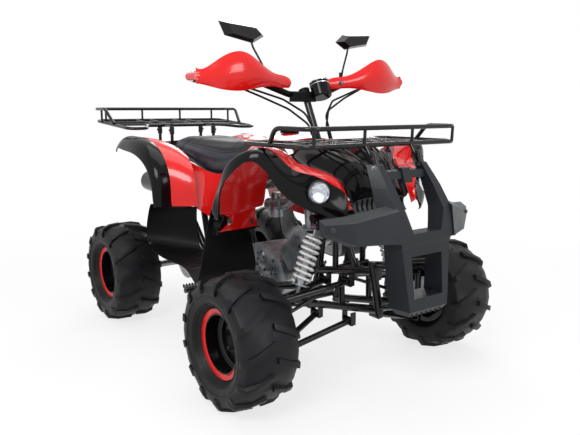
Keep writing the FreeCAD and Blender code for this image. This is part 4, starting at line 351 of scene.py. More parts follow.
RAY_SIDE = 0.5
RAY_TOP = 1.0
BOLT_FLANGE_SHARES = [(1.5, -0.3), (1.5, 0.15), (1.35, 0.28), (1.1, 0.3)]
BOLT_HEAD_SHARES = [(1.0, 0.2), (1.0, 0.95), (0.86, 1.12)]
BOLT_HEAD_SIDES = 6
TURNED_STEPS = 20
RING_STEPS, RING_SIDES = 72, 8
STRIP_SIDES = 8
BLOCK_BEVEL = 0.18
BLOCK_CORNERS = ((-1, -1), (1, -1), (1, 1), (-1, 1))


def make_piece(name, shape, surface, body):
    """A piece from a bmesh, with its finish, on a body."""
    mesh = bpy.data.meshes.new(name)
    bmesh.ops.recalc_face_normals(shape, faces=shape.faces)
    shape.to_mesh(mesh)
    shape.free()
    smoothed(mesh)
    piece = bpy.data.objects.new(name, mesh)
    bpy.context.scene.collection.objects.link(piece)
    dress(piece, surface)
    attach(piece, body)
    return piece


def around(count, start=0.0):
    """Evenly spaced angles of a full turn, the first a share of a step on."""
    return [math.tau * (k + start) / count for k in range(count)]


def spoke(angle):
    """The direction at an angle in the wheels' plane."""
    return Vector((math.cos(angle), 0, math.sin(angle)))


def disc_point(angle, radius=1.0, height=0.0):
    """A point over the flat plane at an angle and radius."""
    return Vector((radius * math.cos(angle), radius * math.sin(angle), height))


def turned_to(axis):
    """The turn that brings up to an axis."""
    return Vector(axis).to_track_quat("Z", "Y")


def scaled(shares, radius):
    """A profile given in shares of a radius."""
    return [(radius * across, radius * along) for across, along in shares]


def add_loft(shape, rings, closed=False):
    """Faces between rings of points; the ends are capped unless the last ring joins the first."""
    rings = [[shape.verts.new(point) for point in ring] for ring in rings]
    pairs = list(zip(rings, rings[1:]))
    if closed:
        pairs.append((rings[-1], rings[0]))
    for low, high in pairs:
        for k in range(len(low)):
            m = (k + 1) % len(low)
            shape.faces.new((low[k], low[m], high[m], high[k]))
    if not closed:
        shape.faces.new(list(reversed(rings[0])))
        shape.faces.new(rings[-1])


def add_turned(shape, place, axis, profile, steps=TURNED_STEPS):
    """A turned body: radius and height along the axis, in metres."""
    turn = turned_to(axis)
    add_loft(shape, [[place + turn @ disc_point(angle, radius, height) for angle in around(steps)]
                     for radius, height in profile])


def add_bolt(shape, place, axis, radius):
    """A flanged hexagon bolt head on a surface."""
    add_turned(shape, place, axis, scaled(BOLT_FLANGE_SHARES, radius))
    add_turned(shape, place, axis, scaled(BOLT_HEAD_SHARES, radius), BOLT_HEAD_SIDES)


def add_ring(shape, centre, axis, radius, thick, steps=RING_STEPS, sides=RING_SIDES):
    """A round ring of a round section."""
    turn = turned_to(axis)
    rings = []
    for a in around(steps):
        rings.append([centre + turn @ disc_point(a, radius + thick * math.cos(b), thick * math.sin(b))
                      for b in around(sides)])
    add_loft(shape, rings, closed=True)


def add_strip(shape, points, radius, flat=1.0, normals=None, sides=STRIP_SIDES, taper=None):
    """A round or flattened bar along points; flat is its height as a share of its width."""
    rings = []
    for k, point in enumerate(points):
        along = (points[min(k + 1, len(points) - 1)] - points[max(k - 1, 0)]).normalized()
        up = normals[k] if normals else UPWARD
        side = along.cross(up).normalized()
        up = side.cross(along).normalized()
        width = radius * (taper[k] if taper else 1.0)
        rings.append([point + side * (width * math.cos(angle)) + up * (width * flat * math.sin(angle))
                      for angle in around(sides)])
    add_loft(shape, rings)


def add_block(shape, centre, right, up, out, size, bevel=BLOCK_BEVEL):
    """A block with bevelled edges: right, up and out are its directions, size its three lengths."""
    half = [length / 2 for length in size]
    edge = min(size) * bevel
    rings = []
    for depth, inset in ((-half[2], edge), (edge - half[2], 0), (half[2] - edge, 0), (half[2], edge)):
        rings.append([centre + right * (x * (half[0] - inset)) + up * (y * (half[1] - inset)) + out * depth
                      for x, y in BLOCK_CORNERS])
    add_loft(shape, rings)


def mirrored(point):
    """The same point or direction on the bike's other side."""
    return Vector((point.x, -point.y, point.z))


def hit(node_name, start, direction):
    """Where a ray meets a node, and the outward normal there."""
    found, place, normal, _ = nodes[node_name].ray_cast(Vector(start), Vector(direction).normalized())
    if not found:
        return None
    normal = normal.normalized()
    return place, (normal if normal.dot(Vector(direction)) < 0 else -normal)


def hit_any(names, start, direction):
    """The nearest of several nodes that a ray meets."""
    found = [each for each in (hit(name, start, direction) for name in names) if each]
    return min(found, key=lambda each: (each[0] - Vector(start)).length) if found else None


def at_photo(column, row, names):
    """The place on the bike that shows at a pixel of the photograph."""
    ray = LOOK * (CAMERA_LENS / SENSOR_WIDTH * PHOTO_WIDTH)
    ray += LOOK_RIGHT * (column - PHOTO_WIDTH / 2) - LOOK_UP * (row - PHOTO_HEIGHT / 2)
    return hit_any(names, CAMERA_PLACE, ray)


def draped(node_name, start, end, count, direction=-UPWARD, lift=0.0):
    """Points on a node where rays from a straight line meet it, with the normals there."""
    points, normals = [], []
    for k in range(count):
        found = hit(node_name, start.lerp(end, k / (count - 1)), direction)
        if found:
            points.append(found[0] + found[1] * lift)
            normals.append(found[1])
    return points, normals


# Seat ---------------------------------------------------------------------------------------------

SEAT_SHRINK = 0.985
SEAT_VOXEL = 0.006
SEAT_PRESSURE = 4.0
SEAT_CAP = 0.008
SEAT_FRAMES = 20
SEAT_CLOTH_QUALITY = 5
SEAT_HELD_SLOPE = -0.3
SEAT_SMOOTH_ROUNDS = 3
SEAT_TOP_SHARE = 0.80
SEAT_TOP_SLOPE = 0.2
SEAT_STATIONS = [(-0.497, 0.120), (-0.447, 0.150), (-0.357, 0.152), (-0.237, 0.146), (-0.117, 0.128),
                 (-0.017, 0.104), (0.058, 0.080)]
PIPING_RADIUS = 0.0028
PIPING_STEPS = 60
PIPING_FRONT, PIPING_LENGTH = 0.040, 0.525
SEAM_PLACES = (-0.060, -0.300)
SEAM_STEPS = 30
SEAM_BOW = 0.02
SEAM_RADIUS_SHARE = 0.8
SEAM_FLATNESS = 0.7


def seat_half_width(x):
    """Half the seat's width at a place along it."""
    for (low, low_width), (high, high_width) in zip(SEAT_STATIONS, SEAT_STATIONS[1:]):
        if x <= high:
            share = max(0.0, (x - low) / (high - low))
            return low_width + (high_width - low_width) * share
    return SEAT_STATIONS[-1][1]


def evaluated_mesh(obj):
    """The object's mesh with its modifiers applied."""
    bpy.context.view_layer.update()
    graph = bpy.context.evaluated_depsgraph_get()
    return bpy.data.meshes.new_from_object(obj.evaluated_get(graph))


def inflate(seat):
    """Swells the seat under its cover by cloth simulation, each point by no more than the cap."""
    rest = [vertex.co.copy() for vertex in seat.data.vertices]
    seat.data.update()
    held = seat.vertex_groups.new(name="held")
    held.add([v.index for v in seat.data.vertices if v.normal.z < SEAT_HELD_SLOPE], 1.0, "REPLACE")
    cloth = seat.modifiers.new("cloth", "CLOTH")
    cloth.settings.quality = SEAT_CLOTH_QUALITY
    cloth.settings.use_pressure = True
    cloth.settings.uniform_pressure_force = SEAT_PRESSURE
    cloth.settings.vertex_group_mass = "held"
    cloth.settings.effector_weights.gravity = 0
    cloth.point_cache.frame_end = SEAT_FRAMES
    for frame_number in range(1, SEAT_FRAMES + 1):
        bpy.context.scene.frame_set(frame_number)
    swollen = evaluated_mesh(seat)
    for vertex, before in zip(swollen.vertices, rest):
        move = vertex.co - before
        if move.length > SEAT_CAP:
            vertex.co = before + move * (SEAT_CAP / move.length)
    seat.modifiers.remove(cloth)
    seat.vertex_groups.clear()
    bpy.context.scene.frame_set(1)
    return swollen


def padded_seat():
    """The seat's foam under its cover, grained on top and smoother at the sides."""
    mesh = nodes["seat"].data.copy()
    low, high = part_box("seat")
    centre = (Vector(low) + Vector(high)) / 2
    for vertex in mesh.vertices:
        vertex.co = centre + (vertex.co - centre) * SEAT_SHRINK
    seat = bpy.data.objects.new("seat_padded", mesh)
    bpy.context.scene.collection.objects.link(seat)
    remesh = seat.modifiers.new("remesh", "REMESH")
    remesh.mode = "VOXEL"
    remesh.voxel_size = SEAT_VOXEL
    even = evaluated_mesh(seat)
    seat.modifiers.remove(remesh)
    seat.data = even
    seat.data = inflate(seat)
    smooth = seat.modifiers.new("smooth", "SMOOTH")
    smooth.iterations = SEAT_SMOOTH_ROUNDS
    subdivide = seat.modifiers.new("subdivide", "SUBSURF")
    subdivide.levels = subdivide.render_levels = 1
    final = evaluated_mesh(seat)
    seat.modifiers.clear()
    seat.data = final
    dress(seat, seat_side)
    final.materials.append(seat_top.material)
    for face in final.polygons:
        inside = abs(face.center.y) < seat_half_width(face.center.x) * SEAT_TOP_SHARE
        face.material_index = 1 if inside and face.normal.z > SEAT_TOP_SLOPE else 0
    final.shade_smooth()
    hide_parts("seat")
    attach(seat, "chassis")
    return seat


def on_seat(seat, x, y):
    """The place on the seat's top at x and y, as a list that is empty where there is none."""
    found, place, _, _ = seat.ray_cast(Vector((x, y, RAY_TOP)), -UPWARD)
    return [place] if found else []


def seat_piping(seat):
    """A welt along each side of the seat's top and round its tail, and two seams across it."""
    lines = []
    for side in (-1, 1):
        line = []
        for k in range(PIPING_STEPS + 1):
            x = PIPING_FRONT - PIPING_LENGTH * k / PIPING_STEPS
            line += on_seat(seat, x, side * seat_half_width(x) * SEAT_TOP_SHARE)
        lines.append(line)
    shape = bmesh.new()
    add_strip(shape, lines[0] + list(reversed(lines[1])), PIPING_RADIUS)
    make_piece("seat_piping", shape, seat_side, "chassis")
    seams = bmesh.new()
    for x in SEAM_PLACES:
        across = []
        for k in range(SEAM_STEPS + 1):
            share = k / (SEAM_STEPS / 2) - 1
            y = share * seat_half_width(x) * SEAT_TOP_SHARE
            across += on_seat(seat, x - SEAM_BOW * (1 - share ** 2), y)
        add_strip(seams, across, PIPING_RADIUS * SEAM_RADIUS_SHARE, flat=SEAM_FLATNESS)
    make_piece("seat_seams", seams, seat_top, "chassis")


seat_piping(padded_seat())

# Wheels -------------------------------------------------------------------------------------------

AXLE_HEIGHT = 0.203
FRONT_AXLE, REAR_AXLE = 0.523, -0.477
# Each wheel: name, place along the bike, side, its tyre, what its hub is made of, its body.
WHEELS = [("fr", FRONT_AXLE, -1, "tyre_front_right", ["rim_front_right", "hub_front_right"], "wheel_fr"),
          ("fl", FRONT_AXLE, 1, "tyre_front_left", ["rim_front_left", "hub_front_left"], "wheel_fl"),
          ("rr", REAR_AXLE, -1, "tyres_rear", ["rims_rear", "rear_axle"], "rear_axle_set"),
          ("rl", REAR_AXLE, 1, "tyres_rear", ["rims_rear", "rear_axle"], "rear_axle_set")]
LUG_NUTS = 4
LUG_CIRCLE = 0.044
LUG_RADIUS = 0.0075
HUB_CAP_PROFILE = [(0.024, -0.006), (0.024, 0.004), (0.021, 0.008), (0.013, 0.011)]
HUB_CAP_SIDES = 8
SIDE_RINGS = (0.118, 0.124, 0.146, 0.150)
SIDE_RING_THICK = 0.0016
SIDE_RING_INSET = 0.004
SIDE_RING_STEPS, SIDE_RING_SIDES = 90, 6
SHOULDER_MARKS = 18
MARK_CIRCLE = 0.160
MARK_INSET = 0.014
MARK_SHIFT, MARK_FOOT = 0.010, 0.009
MARK_UPRIGHT, MARK_CROSSBAR = (0.005, 0.022, 0.004), (0.022, 0.005, 0.004)
TYRE_WELD = 0.0003
TYRE_FLAT_ANGLE = math.radians(1)
TYRE_BEVEL = 0.0016
TYRE_BEVEL_STEPS = 2
TYRE_SMOOTH_ANGLE = math.radians(38)


def hub_trim(name, centre, out, rims, body):
    """Nuts and cap at the hub."""
    nuts = bmesh.new()
    for angle in around(LUG_NUTS, 0.5):
        place, _ = hit_any(rims, centre + spoke(angle) * LUG_CIRCLE + out, -out)
        add_bolt(nuts, place, out, LUG_RADIUS)
    make_piece(f"lug_nuts_{name}", nuts, dark_steel, body)
    cap = bmesh.new()
    place, _ = hit_any(rims, centre + out, -out)
    add_turned(cap, place, out, HUB_CAP_PROFILE, HUB_CAP_SIDES)
    make_piece(f"hub_cap_{name}", cap, black_plastic, body)


def tyre_trim(name, centre, out, tyre, body):
    """Ribs and marks on the tyre's side wall."""
    ribs = bmesh.new()
    widest = max(abs(y) for _, y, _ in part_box(tyre))
    for radius in SIDE_RINGS:
        found = hit(tyre, centre + FORWARD * radius + out, -out)
        if found and abs(found[0].y) < widest - SIDE_RING_INSET:
            add_ring(ribs, Vector((centre.x, found[0].y, centre.z)), out, radius, SIDE_RING_THICK,
                     SIDE_RING_STEPS, SIDE_RING_SIDES)
    for angle in around(SHOULDER_MARKS, 0.25):
        way = spoke(angle)
        found = hit(tyre, centre + way * MARK_CIRCLE + out, -out)
        if found and abs(found[0].y) < widest - MARK_INSET:
            place, normal = found
            along = way.cross(normal).normalized()
            up = normal.cross(along).normalized()
            for shift in (-MARK_SHIFT, MARK_SHIFT):
                add_block(ribs, place + along * shift, along, up, normal, MARK_UPRIGHT)
            add_block(ribs, place + up * MARK_FOOT, along, up, normal, MARK_CROSSBAR)
    make_piece(f"tyre_ribs_{name}", ribs, tyre_rubber, body)


def rounded_tyre(node_name, body):
    """The tyre as one smooth skin, its lugs with rounded edges."""
    shape = bmesh.new()
    shape.from_mesh(nodes[node_name].data)
    bmesh.ops.remove_doubles(shape, verts=shape.verts, dist=TYRE_WELD)
    bmesh.ops.dissolve_limit(shape, angle_limit=TYRE_FLAT_ANGLE, verts=shape.verts, edges=shape.edges)
    tyre = make_piece(f"{node_name}_rounded", shape, tyre_rubber, body)
    bevel = tyre.modifiers.new("bevel", "BEVEL")
    bevel.width = TYRE_BEVEL
    bevel.segments = TYRE_BEVEL_STEPS
    bevel.limit_method = "ANGLE"
    bevel.angle_limit = TYRE_SMOOTH_ANGLE
    tyre.data = evaluated_mesh(tyre)
    tyre.modifiers.clear()
    smoothed(tyre.data, TYRE_SMOOTH_ANGLE)
    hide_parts(node_name)


for wheel_name, wheel_x, wheel_side, wheel_tyre, wheel_rims, wheel_body in WHEELS:
    wheel_centre = Vector((wheel_x, 0, AXLE_HEIGHT))
    hub_trim(wheel_name, wheel_centre, LEFTWARD * wheel_side, wheel_rims, wheel_body)
    tyre_trim(wheel_name, wheel_centre, LEFTWARD * wheel_side, wheel_tyre, wheel_body)
for tyre_name, tyre_body in {wheel[3]: wheel[5] for wheel in WHEELS}.items():
    rounded_tyre(tyre_name, tyre_body)

# Bolts on the panels, bumper and racks ------------------------------------------------------------

# Each bolt: column and row in the photograph, and the node that it is on.
PANEL_BOLTS = [(229.4, 221.0, "fenders_front"), (251.4, 221.0, "fenders_front"),
               (210.5, 221.0, "fenders_front"), (155.5, 206.0, "footwells"), (195.0, 206.0, "footwells"),
               (151.0, 243.0, "footwells"), (374.0, 168.0, "bumper"), (418.0, 165.5, "bumper"),
               (333.0, 231.0, "bumper")]
GUARD_BOLTS = [(341.0, 83.0, "hand_guards"), (291.5, 79.5, "hand_guards")]
PANEL_BOLT_RADIUS = 0.0055
TWIN_BOLT_FROM = 0.12
# Each clamp: its two ends on the left side.
CLAMPS = [((0.736, 0.095, 0.712), (0.722, 0.095, 0.752)), ((-0.537, 0.105, 0.765), (-0.537, 0.105, 0.800)),
          ((-0.657, 0.105, 0.765), (-0.657, 0.105, 0.800))]
CLAMP_RADIUS, CLAMP_END_RADIUS, CLAMP_EDGE = 0.0105, 0.0085, 0.002
CLAMP_BOLT_OUT, CLAMP_BOLT_RADIUS = 0.0095, 0.0045


def panel_bolts(body, bolts, with_twins):
    """Bolts where the photograph shows them, with their twins on the other side where asked."""
    shape = bmesh.new()
    for column, row, name in bolts:
        found = at_photo(column, row, [name])
        if found:
            place, normal = found
            add_bolt(shape, place, normal, PANEL_BOLT_RADIUS)
            if with_twins and abs(place.y) > TWIN_BOLT_FROM:
                add_bolt(shape, mirrored(place), mirrored(normal), PANEL_BOLT_RADIUS)
    make_piece(f"panel_bolts_{body}", shape, dark_steel, body)


def rack_clamps():
    """A clamp with its bolt where the front rack's arms meet the bumper, and on the racks' posts."""
    clamps, bolts = bmesh.new(), bmesh.new()
    for side in (-1, 1):
        for ends in CLAMPS:
            low, high = [Vector((x, y * side, z)) for x, y, z in ends]
            axis, long = (high - low).normalized(), (high - low).length
            add_turned(clamps, low, axis, [(CLAMP_END_RADIUS, 0), (CLAMP_RADIUS, CLAMP_EDGE),
                                           (CLAMP_RADIUS, long - CLAMP_EDGE), (CLAMP_END_RADIUS, long)])
            out = LEFTWARD * side
            add_bolt(bolts, (low + high) / 2 + out * CLAMP_BOLT_OUT, out, CLAMP_BOLT_RADIUS)
    make_piece("rack_clamps", clamps, black_metal, "chassis")
    make_piece("rack_clamp_bolts", bolts, dark_steel, "chassis")


panel_bolts("chassis", PANEL_BOLTS, True)
panel_bolts("steering", GUARD_BOLTS, False)
rack_clamps()

# Engine -------------------------------------------------------------------------------------------

# Each cover: place along the bike, side, height, radius.
COVERS = [(0.128, -1, 0.245, 0.066), (0.143, 1, 0.245, 0.066)]
COVER_RIM = [(0.004, -0.002), (0.005, 0.003), (0.012, 0.005), (0.018, 0.003)]
COVER_BOSS = [(0.030, 0.004), (0.026, 0.010), (0.016, 0.012)]
COVER_STEPS = 40
COVER_BOLTS, COVER_BOLT_INSET, COVER_BOLT_RADIUS = 7, 0.008, 0.0045
COVER_RIBS, COVER_RIB_PLACE, COVER_RIB_SIZE = 6, 0.040, (0.022, 0.004, 0.006)
COVER_LIFT = 0.004
# Each bolt and rib of the case: place along the bike, height.
CASE_BOLTS = [(0.175, 0.350), (0.175, 0.320), (0.0, 0.290), (0.0, 0.200), (0.0, 0.180)]
CASE_RIB_SHIFT, CASE_RIB_SIZE = 0.03, (0.045, 0.005, 0.008)
HEAD_BOLTS = (0.318, 0.352, 0.385)
HEAD_BOLT_HEIGHT, HEAD_BOLT_SLOPE = 0.40, 0.9
CASE_BOLT_RADIUS = 0.005
# Each cap: column and row in the photograph, radius.
ENGINE_CAPS = [(262.0, 256.0, 0.026), (272.0, 272.0, 0.015)]
CAP_PROFILE = [(1.0, -0.002), (1.0, 0.004), (0.9, 0.007), (0.55, 0.007), (0.5, 0.003), (0.2, 0.004)]
CAP_STEPS = 32
CAP_BOLTS, CAP_BOLT_SHARE, CAP_BOLT_LIFT, CAP_BOLT_RADIUS = 5, 0.78, 0.007, 0.0035
CAP_TWIN_FROM = 0.04


def add_cover(metal, bolts, place, out, radius):
    """A round side cover: its raised rim and boss, bolts and ribs."""
    add_turned(metal, place, out, [(radius - inset, height) for inset, height in COVER_RIM] + COVER_BOSS,
               COVER_STEPS)
    lift = out * COVER_LIFT
    for angle in around(COVER_BOLTS):
        add_bolt(bolts, place + spoke(angle) * (radius - COVER_BOLT_INSET) + lift, out, COVER_BOLT_RADIUS)
    for angle in around(COVER_RIBS, 0.5):
        arm = spoke(angle)
        add_block(metal, place + arm * COVER_RIB_PLACE + lift, arm, arm.cross(out), out, COVER_RIB_SIZE)


def add_cap(metal, bolts, place, out, radius):
    """A round cap on the case with a ring of bolts."""
    add_turned(metal, place, out, [(radius * share, height) for share, height in CAP_PROFILE], CAP_STEPS)
    turn = turned_to(out)
    for angle in around(CAP_BOLTS):
        add_bolt(bolts, place + turn @ disc_point(angle, radius * CAP_BOLT_SHARE) + out * CAP_BOLT_LIFT, out,
                 CAP_BOLT_RADIUS)


def engine_trim():
    """Covers, caps, ribs and bolts of the case and the cylinder."""
    metal, bolts = bmesh.new(), bmesh.new()
    for x, side, height, radius in COVERS:
        place, _ = hit("engine_case", (x, side * RAY_SIDE, height), LEFTWARD * -side)
        add_cover(metal, bolts, place, LEFTWARD * side, radius)
    for x, z in CASE_BOLTS:
        for side in (-1, 1):
            found = hit("engine_case", (x, side * RAY_SIDE, z), LEFTWARD * -side)
            if found:
                place, out = found
                add_bolt(bolts, place, out, CASE_BOLT_RADIUS)
                add_block(metal, place + FORWARD * CASE_RIB_SHIFT, FORWARD, UPWARD, out, CASE_RIB_SIZE)
    for x in HEAD_BOLTS:
        for side in (-1, 1):
            z = HEAD_BOLT_HEIGHT + (x - HEAD_BOLTS[0]) * HEAD_BOLT_SLOPE
            found = hit("engine_cylinder", (x, side * RAY_SIDE, z), LEFTWARD * -side)
            if found:
                add_bolt(bolts, found[0], found[1], CASE_BOLT_RADIUS)
    for column, row, radius in ENGINE_CAPS:
        found = at_photo(column, row, ["engine_case"])
        if found:
            add_cap(metal, bolts, *found, radius)
            if abs(found[0].y) >= CAP_TWIN_FROM:
                add_cap(metal, bolts, *[mirrored(each) for each in found], radius)
    make_piece("engine_covers", metal, cast_metal, "chassis")
    make_piece("engine_bolts", bolts, dark_steel, "chassis")


engine_trim()

# Lamps, instruments and mirrors -------------------------------------------------------------------

LAMP_PLACE = Vector((0.629, -0.222, 0.636))
LAMP_AIM = Vector((0.95, -0.26, 0.12)).normalized()
LAMP_RADIUS = 0.029
FACET_ROWS = (0.0, 0.35, 0.62, 0.84, 1.0)
FACET_COLUMNS = 16
FACET_LIFTS = (0.0008, 0.0022)
FACET_RISE, FACET_DEPTH = 0.0030, 0.0045
LAMP_RING_OUT, LAMP_RING_RADIUS, LAMP_RING_THICK, LAMP_RING_STEPS = 0.006, 0.0335, 0.0022, 48

METER_FOOT = Vector((0.323, 0.045, 0.915))
METER_AXIS = Vector((-0.42, 0.05, 0.90)).normalized()
METER_LENGTH, METER_RADIUS = 0.062, 0.034
# Each ring of the rim: depth below the top, inset from the radius, thickness.
METER_RINGS = [(0.004, 0.002, 0.0028), (0.016, 0.0, 0.0015)]
METER_RING_STEPS, METER_FACE_STEPS = 56, 48
METER_FACE_INSET, METER_FACE_LOW, METER_FACE_HIGH = 0.005, -0.001, 0.0006
METER_MARKS, METER_MARK_START, METER_MARK_STEP = 13, -30, 20
METER_MARK_CIRCLE, METER_MARK_LIFT, METER_MARK_SIZE = 0.023, 0.0008, (0.006, 0.0012, 0.0008)
NEEDLE_ANGLE = 200
NEEDLE_PLACE, NEEDLE_LIFT, NEEDLE_SIZE = 0.009, 0.0014, (0.020, 0.0014, 0.0008)
NEEDLE_CAP = [(0.003, 0), (0.003, 0.002), (0.002, 0.0025)]

MIRROR_OUTLINE = [(-0.156, 1.112), (-0.190, 1.140), (-0.329, 1.150), (-0.307, 1.107), (-0.200, 1.088)]
MIRROR_MIDDLE = (-0.235, 1.122)
MIRROR_X = 0.258
GLASS_SHARE, GLASS_FRONT, GLASS_BACK = 0.90, 0.001, 0.0004


def lamp_reflector(side_name, place, aim):
    """A dish of tilted facets behind the clear lens, and the ring round it."""
    turn = turned_to(aim)
    shape = bmesh.new()
    for row, (low, high) in enumerate(zip(FACET_ROWS, FACET_ROWS[1:])):
        for k in range(FACET_COLUMNS):
            a, b = math.tau * k / FACET_COLUMNS, math.tau * (k + 1) / FACET_COLUMNS
            lift = FACET_LIFTS[(k + row) % 2] - FACET_DEPTH
            corners = [(high, a), (high, b)] + ([(low, b), (low, a)] if low else [(0.0, a)])
            points = [turn @ disc_point(angle, share * LAMP_RADIUS, lift + FACET_RISE * share) + place
                      for share, angle in corners]
            shape.faces.new([shape.verts.new(point) for point in points])
    make_piece(f"lamp_reflector_{side_name}", shape, chrome, "chassis")
    ring = bmesh.new()
    add_ring(ring, place + aim * LAMP_RING_OUT, aim, LAMP_RING_RADIUS, LAMP_RING_THICK, LAMP_RING_STEPS)
    make_piece(f"lamp_ring_{side_name}", ring, dark_steel, "chassis")


def speedometer_trim():
    """The speedometer's rim, face, marks and needle."""
    top = METER_FOOT + METER_AXIS * METER_LENGTH
    rim, face, marks = bmesh.new(), bmesh.new(), bmesh.new()
    for depth, inset, thick in METER_RINGS:
        add_ring(rim, top - METER_AXIS * depth, METER_AXIS, METER_RADIUS - inset, thick, METER_RING_STEPS)
    make_piece("speedometer_rim", rim, chrome, "steering")
    face_radius = METER_RADIUS - METER_FACE_INSET
    add_turned(face, top, METER_AXIS, [(face_radius, METER_FACE_LOW), (face_radius, METER_FACE_HIGH)],
               METER_FACE_STEPS)
    make_piece("speedometer_face", face, black_plastic, "steering")
    turn = turned_to(METER_AXIS)

    def add_mark(angle, distance, lift, size):
        way = turn @ disc_point(math.radians(angle))
        place = top + way * distance + METER_AXIS * lift
        add_block(marks, place, way, METER_AXIS.cross(way), METER_AXIS, size)

    for k in range(METER_MARKS):
        add_mark(METER_MARK_START + METER_MARK_STEP * k, METER_MARK_CIRCLE, METER_MARK_LIFT, METER_MARK_SIZE)
    add_mark(NEEDLE_ANGLE, NEEDLE_PLACE, NEEDLE_LIFT, NEEDLE_SIZE)
    add_turned(marks, top, METER_AXIS, NEEDLE_CAP)
    make_piece("speedometer_marks", marks, spring_white, "steering")


def mirror_ring(side, x):
    """The glass's outline, a little inside the mirror's, at a place along the bike."""
    middle_y, middle_z = MIRROR_MIDDLE
    return [Vector((x, side * (middle_y + (y - middle_y) * GLASS_SHARE),
                    middle_z + (z - middle_z) * GLASS_SHARE)) for y, z in MIRROR_OUTLINE]


def mirror_faces():
    """The glass of each mirror, set in a rim on the rider's side."""
    for side, name in ((1, "right"), (-1, "left")):
        glass = bmesh.new()
        add_loft(glass, [mirror_ring(side, MIRROR_X + GLASS_FRONT), mirror_ring(side, MIRROR_X - GLASS_BACK)])
        make_piece(f"mirror_glass_{name}", glass, mirror_glass, "steering")


lamp_reflector("right", LAMP_PLACE, LAMP_AIM)
lamp_reflector("left", mirrored(LAMP_PLACE), mirrored(LAMP_AIM))
speedometer_trim()
mirror_faces()

# Grips --------------------------------------------------------------------------------------------

BAR_END, BAR_INNER = Vector((0.248, -0.420, 0.975)), Vector((0.268, -0.200, 0.970))
GRIP_RIBS, GRIP_RIB_START, GRIP_RIB_PITCH = 17, 0.008, 0.0065
GRIP_RIB_RADIUS, GRIP_RIB_THICK, GRIP_RIB_SIDES = 0.0162, 0.0016, 6
GRIP_STEPS = 28
BAR_END_DEPTH, BAR_END_PROFILE = 0.002, [(0.017, 0), (0.017, 0.004), (0.013, 0.007), (0.008, 0.008)]
SWITCH_PLACE, SWITCH_SIZE, SWITCH_BEVEL = 0.165, (0.034, 0.036, 0.038), 0.12
BUTTON_PITCH, BUTTON_BACK, BUTTON_PROFILE = 0.010, 0.019, [(0.0042, 0), (0.0042, 0.003), (0.0032, 0.0042)]


def grip_trim():
    """Ribs and end caps of the grips, and the switch boxes beside them."""
    ribs, ends, buttons = bmesh.new(), bmesh.new(), bmesh.new()
    for end, inner in ((BAR_END, BAR_INNER), (mirrored(BAR_END), mirrored(BAR_INNER))):
        along = (inner - end).normalized()
        for k in range(GRIP_RIBS):
            add_ring(ribs, end + along * (GRIP_RIB_START + GRIP_RIB_PITCH * k), along, GRIP_RIB_RADIUS,
                     GRIP_RIB_THICK, GRIP_STEPS, GRIP_RIB_SIDES)
        add_turned(ends, end + along * BAR_END_DEPTH, -along, BAR_END_PROFILE, GRIP_STEPS)
        box = end + along * SWITCH_PLACE
        out = along.cross(UPWARD).normalized()
        up = out.cross(along)
        add_block(buttons, box, along, up, out, SWITCH_SIZE, SWITCH_BEVEL)
        for k in (-1, 0, 1):
            place = box + up * (BUTTON_PITCH * k) - FORWARD * BUTTON_BACK
            add_turned(buttons, place, -FORWARD, BUTTON_PROFILE)
    make_piece("grip_ribs", ribs, grip_rubber, "steering")
    make_piece("bar_ends", ends, chrome, "steering")
    make_piece("switch_boxes", buttons, black_plastic, "steering")


grip_trim()

# Hood, nose, footwells and bumper -----------------------------------------------------------------

# Each ridge: its ends on the left side, half its width.
HOOD_RIDGES = [((0.500, 0.115), (0.650, 0.060), 0.007), ((0.500, 0.040), (0.660, 0.026), 0.005)]
RIDGE_POINTS, RIDGE_LEAST, RIDGE_FLATNESS, RIDGE_SIDES, RIDGE_END = 30, 4, 0.8, 10, 0.25
NOSE_COLUMNS, NOSE_PITCH = 12, 0.0088
NOSE_LOW, NOSE_HIGH, NOSE_STEP, NOSE_STEPS, NOSE_FRONT = 0.598, 0.606, 0.004, 16, 0.60
NOSE_LOW_BACK, NOSE_HIGH_SHIFT = Vector((-0.004, 0, 0)), Vector((-0.003, 0, 0.004))
NOSE_PLATE, NOSE_BAR_RADIUS = 0.0015, 0.0016
NOSE_BAR_SHARES, NOSE_CROSS_SHARES = (0.02, 0.5, 0.98), (0.3, 0.7)
SLATS, SLAT_PITCH, SLAT_TOP, SLAT_FOOT = 5, 0.019, 0.622, 0.572
SLAT_POINTS, SLAT_RADIUS, SLAT_LIFT = 8, 0.0030, 0.001
TREADS, TREAD_START, TREAD_PITCH, TREAD_IN, TREAD_OUT, TREAD_RAY = 9, -0.110, 0.024, 0.235, 0.355, 0.45
TREAD_POINTS, TREAD_RADIUS, TREAD_FLATNESS = 12, 0.0035, 0.8
TEETH, TOOTH_START, TOOTH_PITCH, TOOTH_ROWS, TOOTH_RAY = 10, 0.225, 0.012, (-0.020, 0.006), 0.30
TOOTH_PROFILE, TOOTH_SIDES = [(0.0040, -0.001), (0.0036, 0.003), (0.0012, 0.006)], 6
BUMPER_RIBS, BUMPER_RIB_PITCH, BUMPER_RIB_RADIUS = 3, 0.020, 0.003
BUMPER_RIB_BACK, BUMPER_RIB_FRONT, BUMPER_RAY, BUMPER_RIB_POINTS = 0.812, 0.862, 0.1, 10
STRIP_LEAST = 3


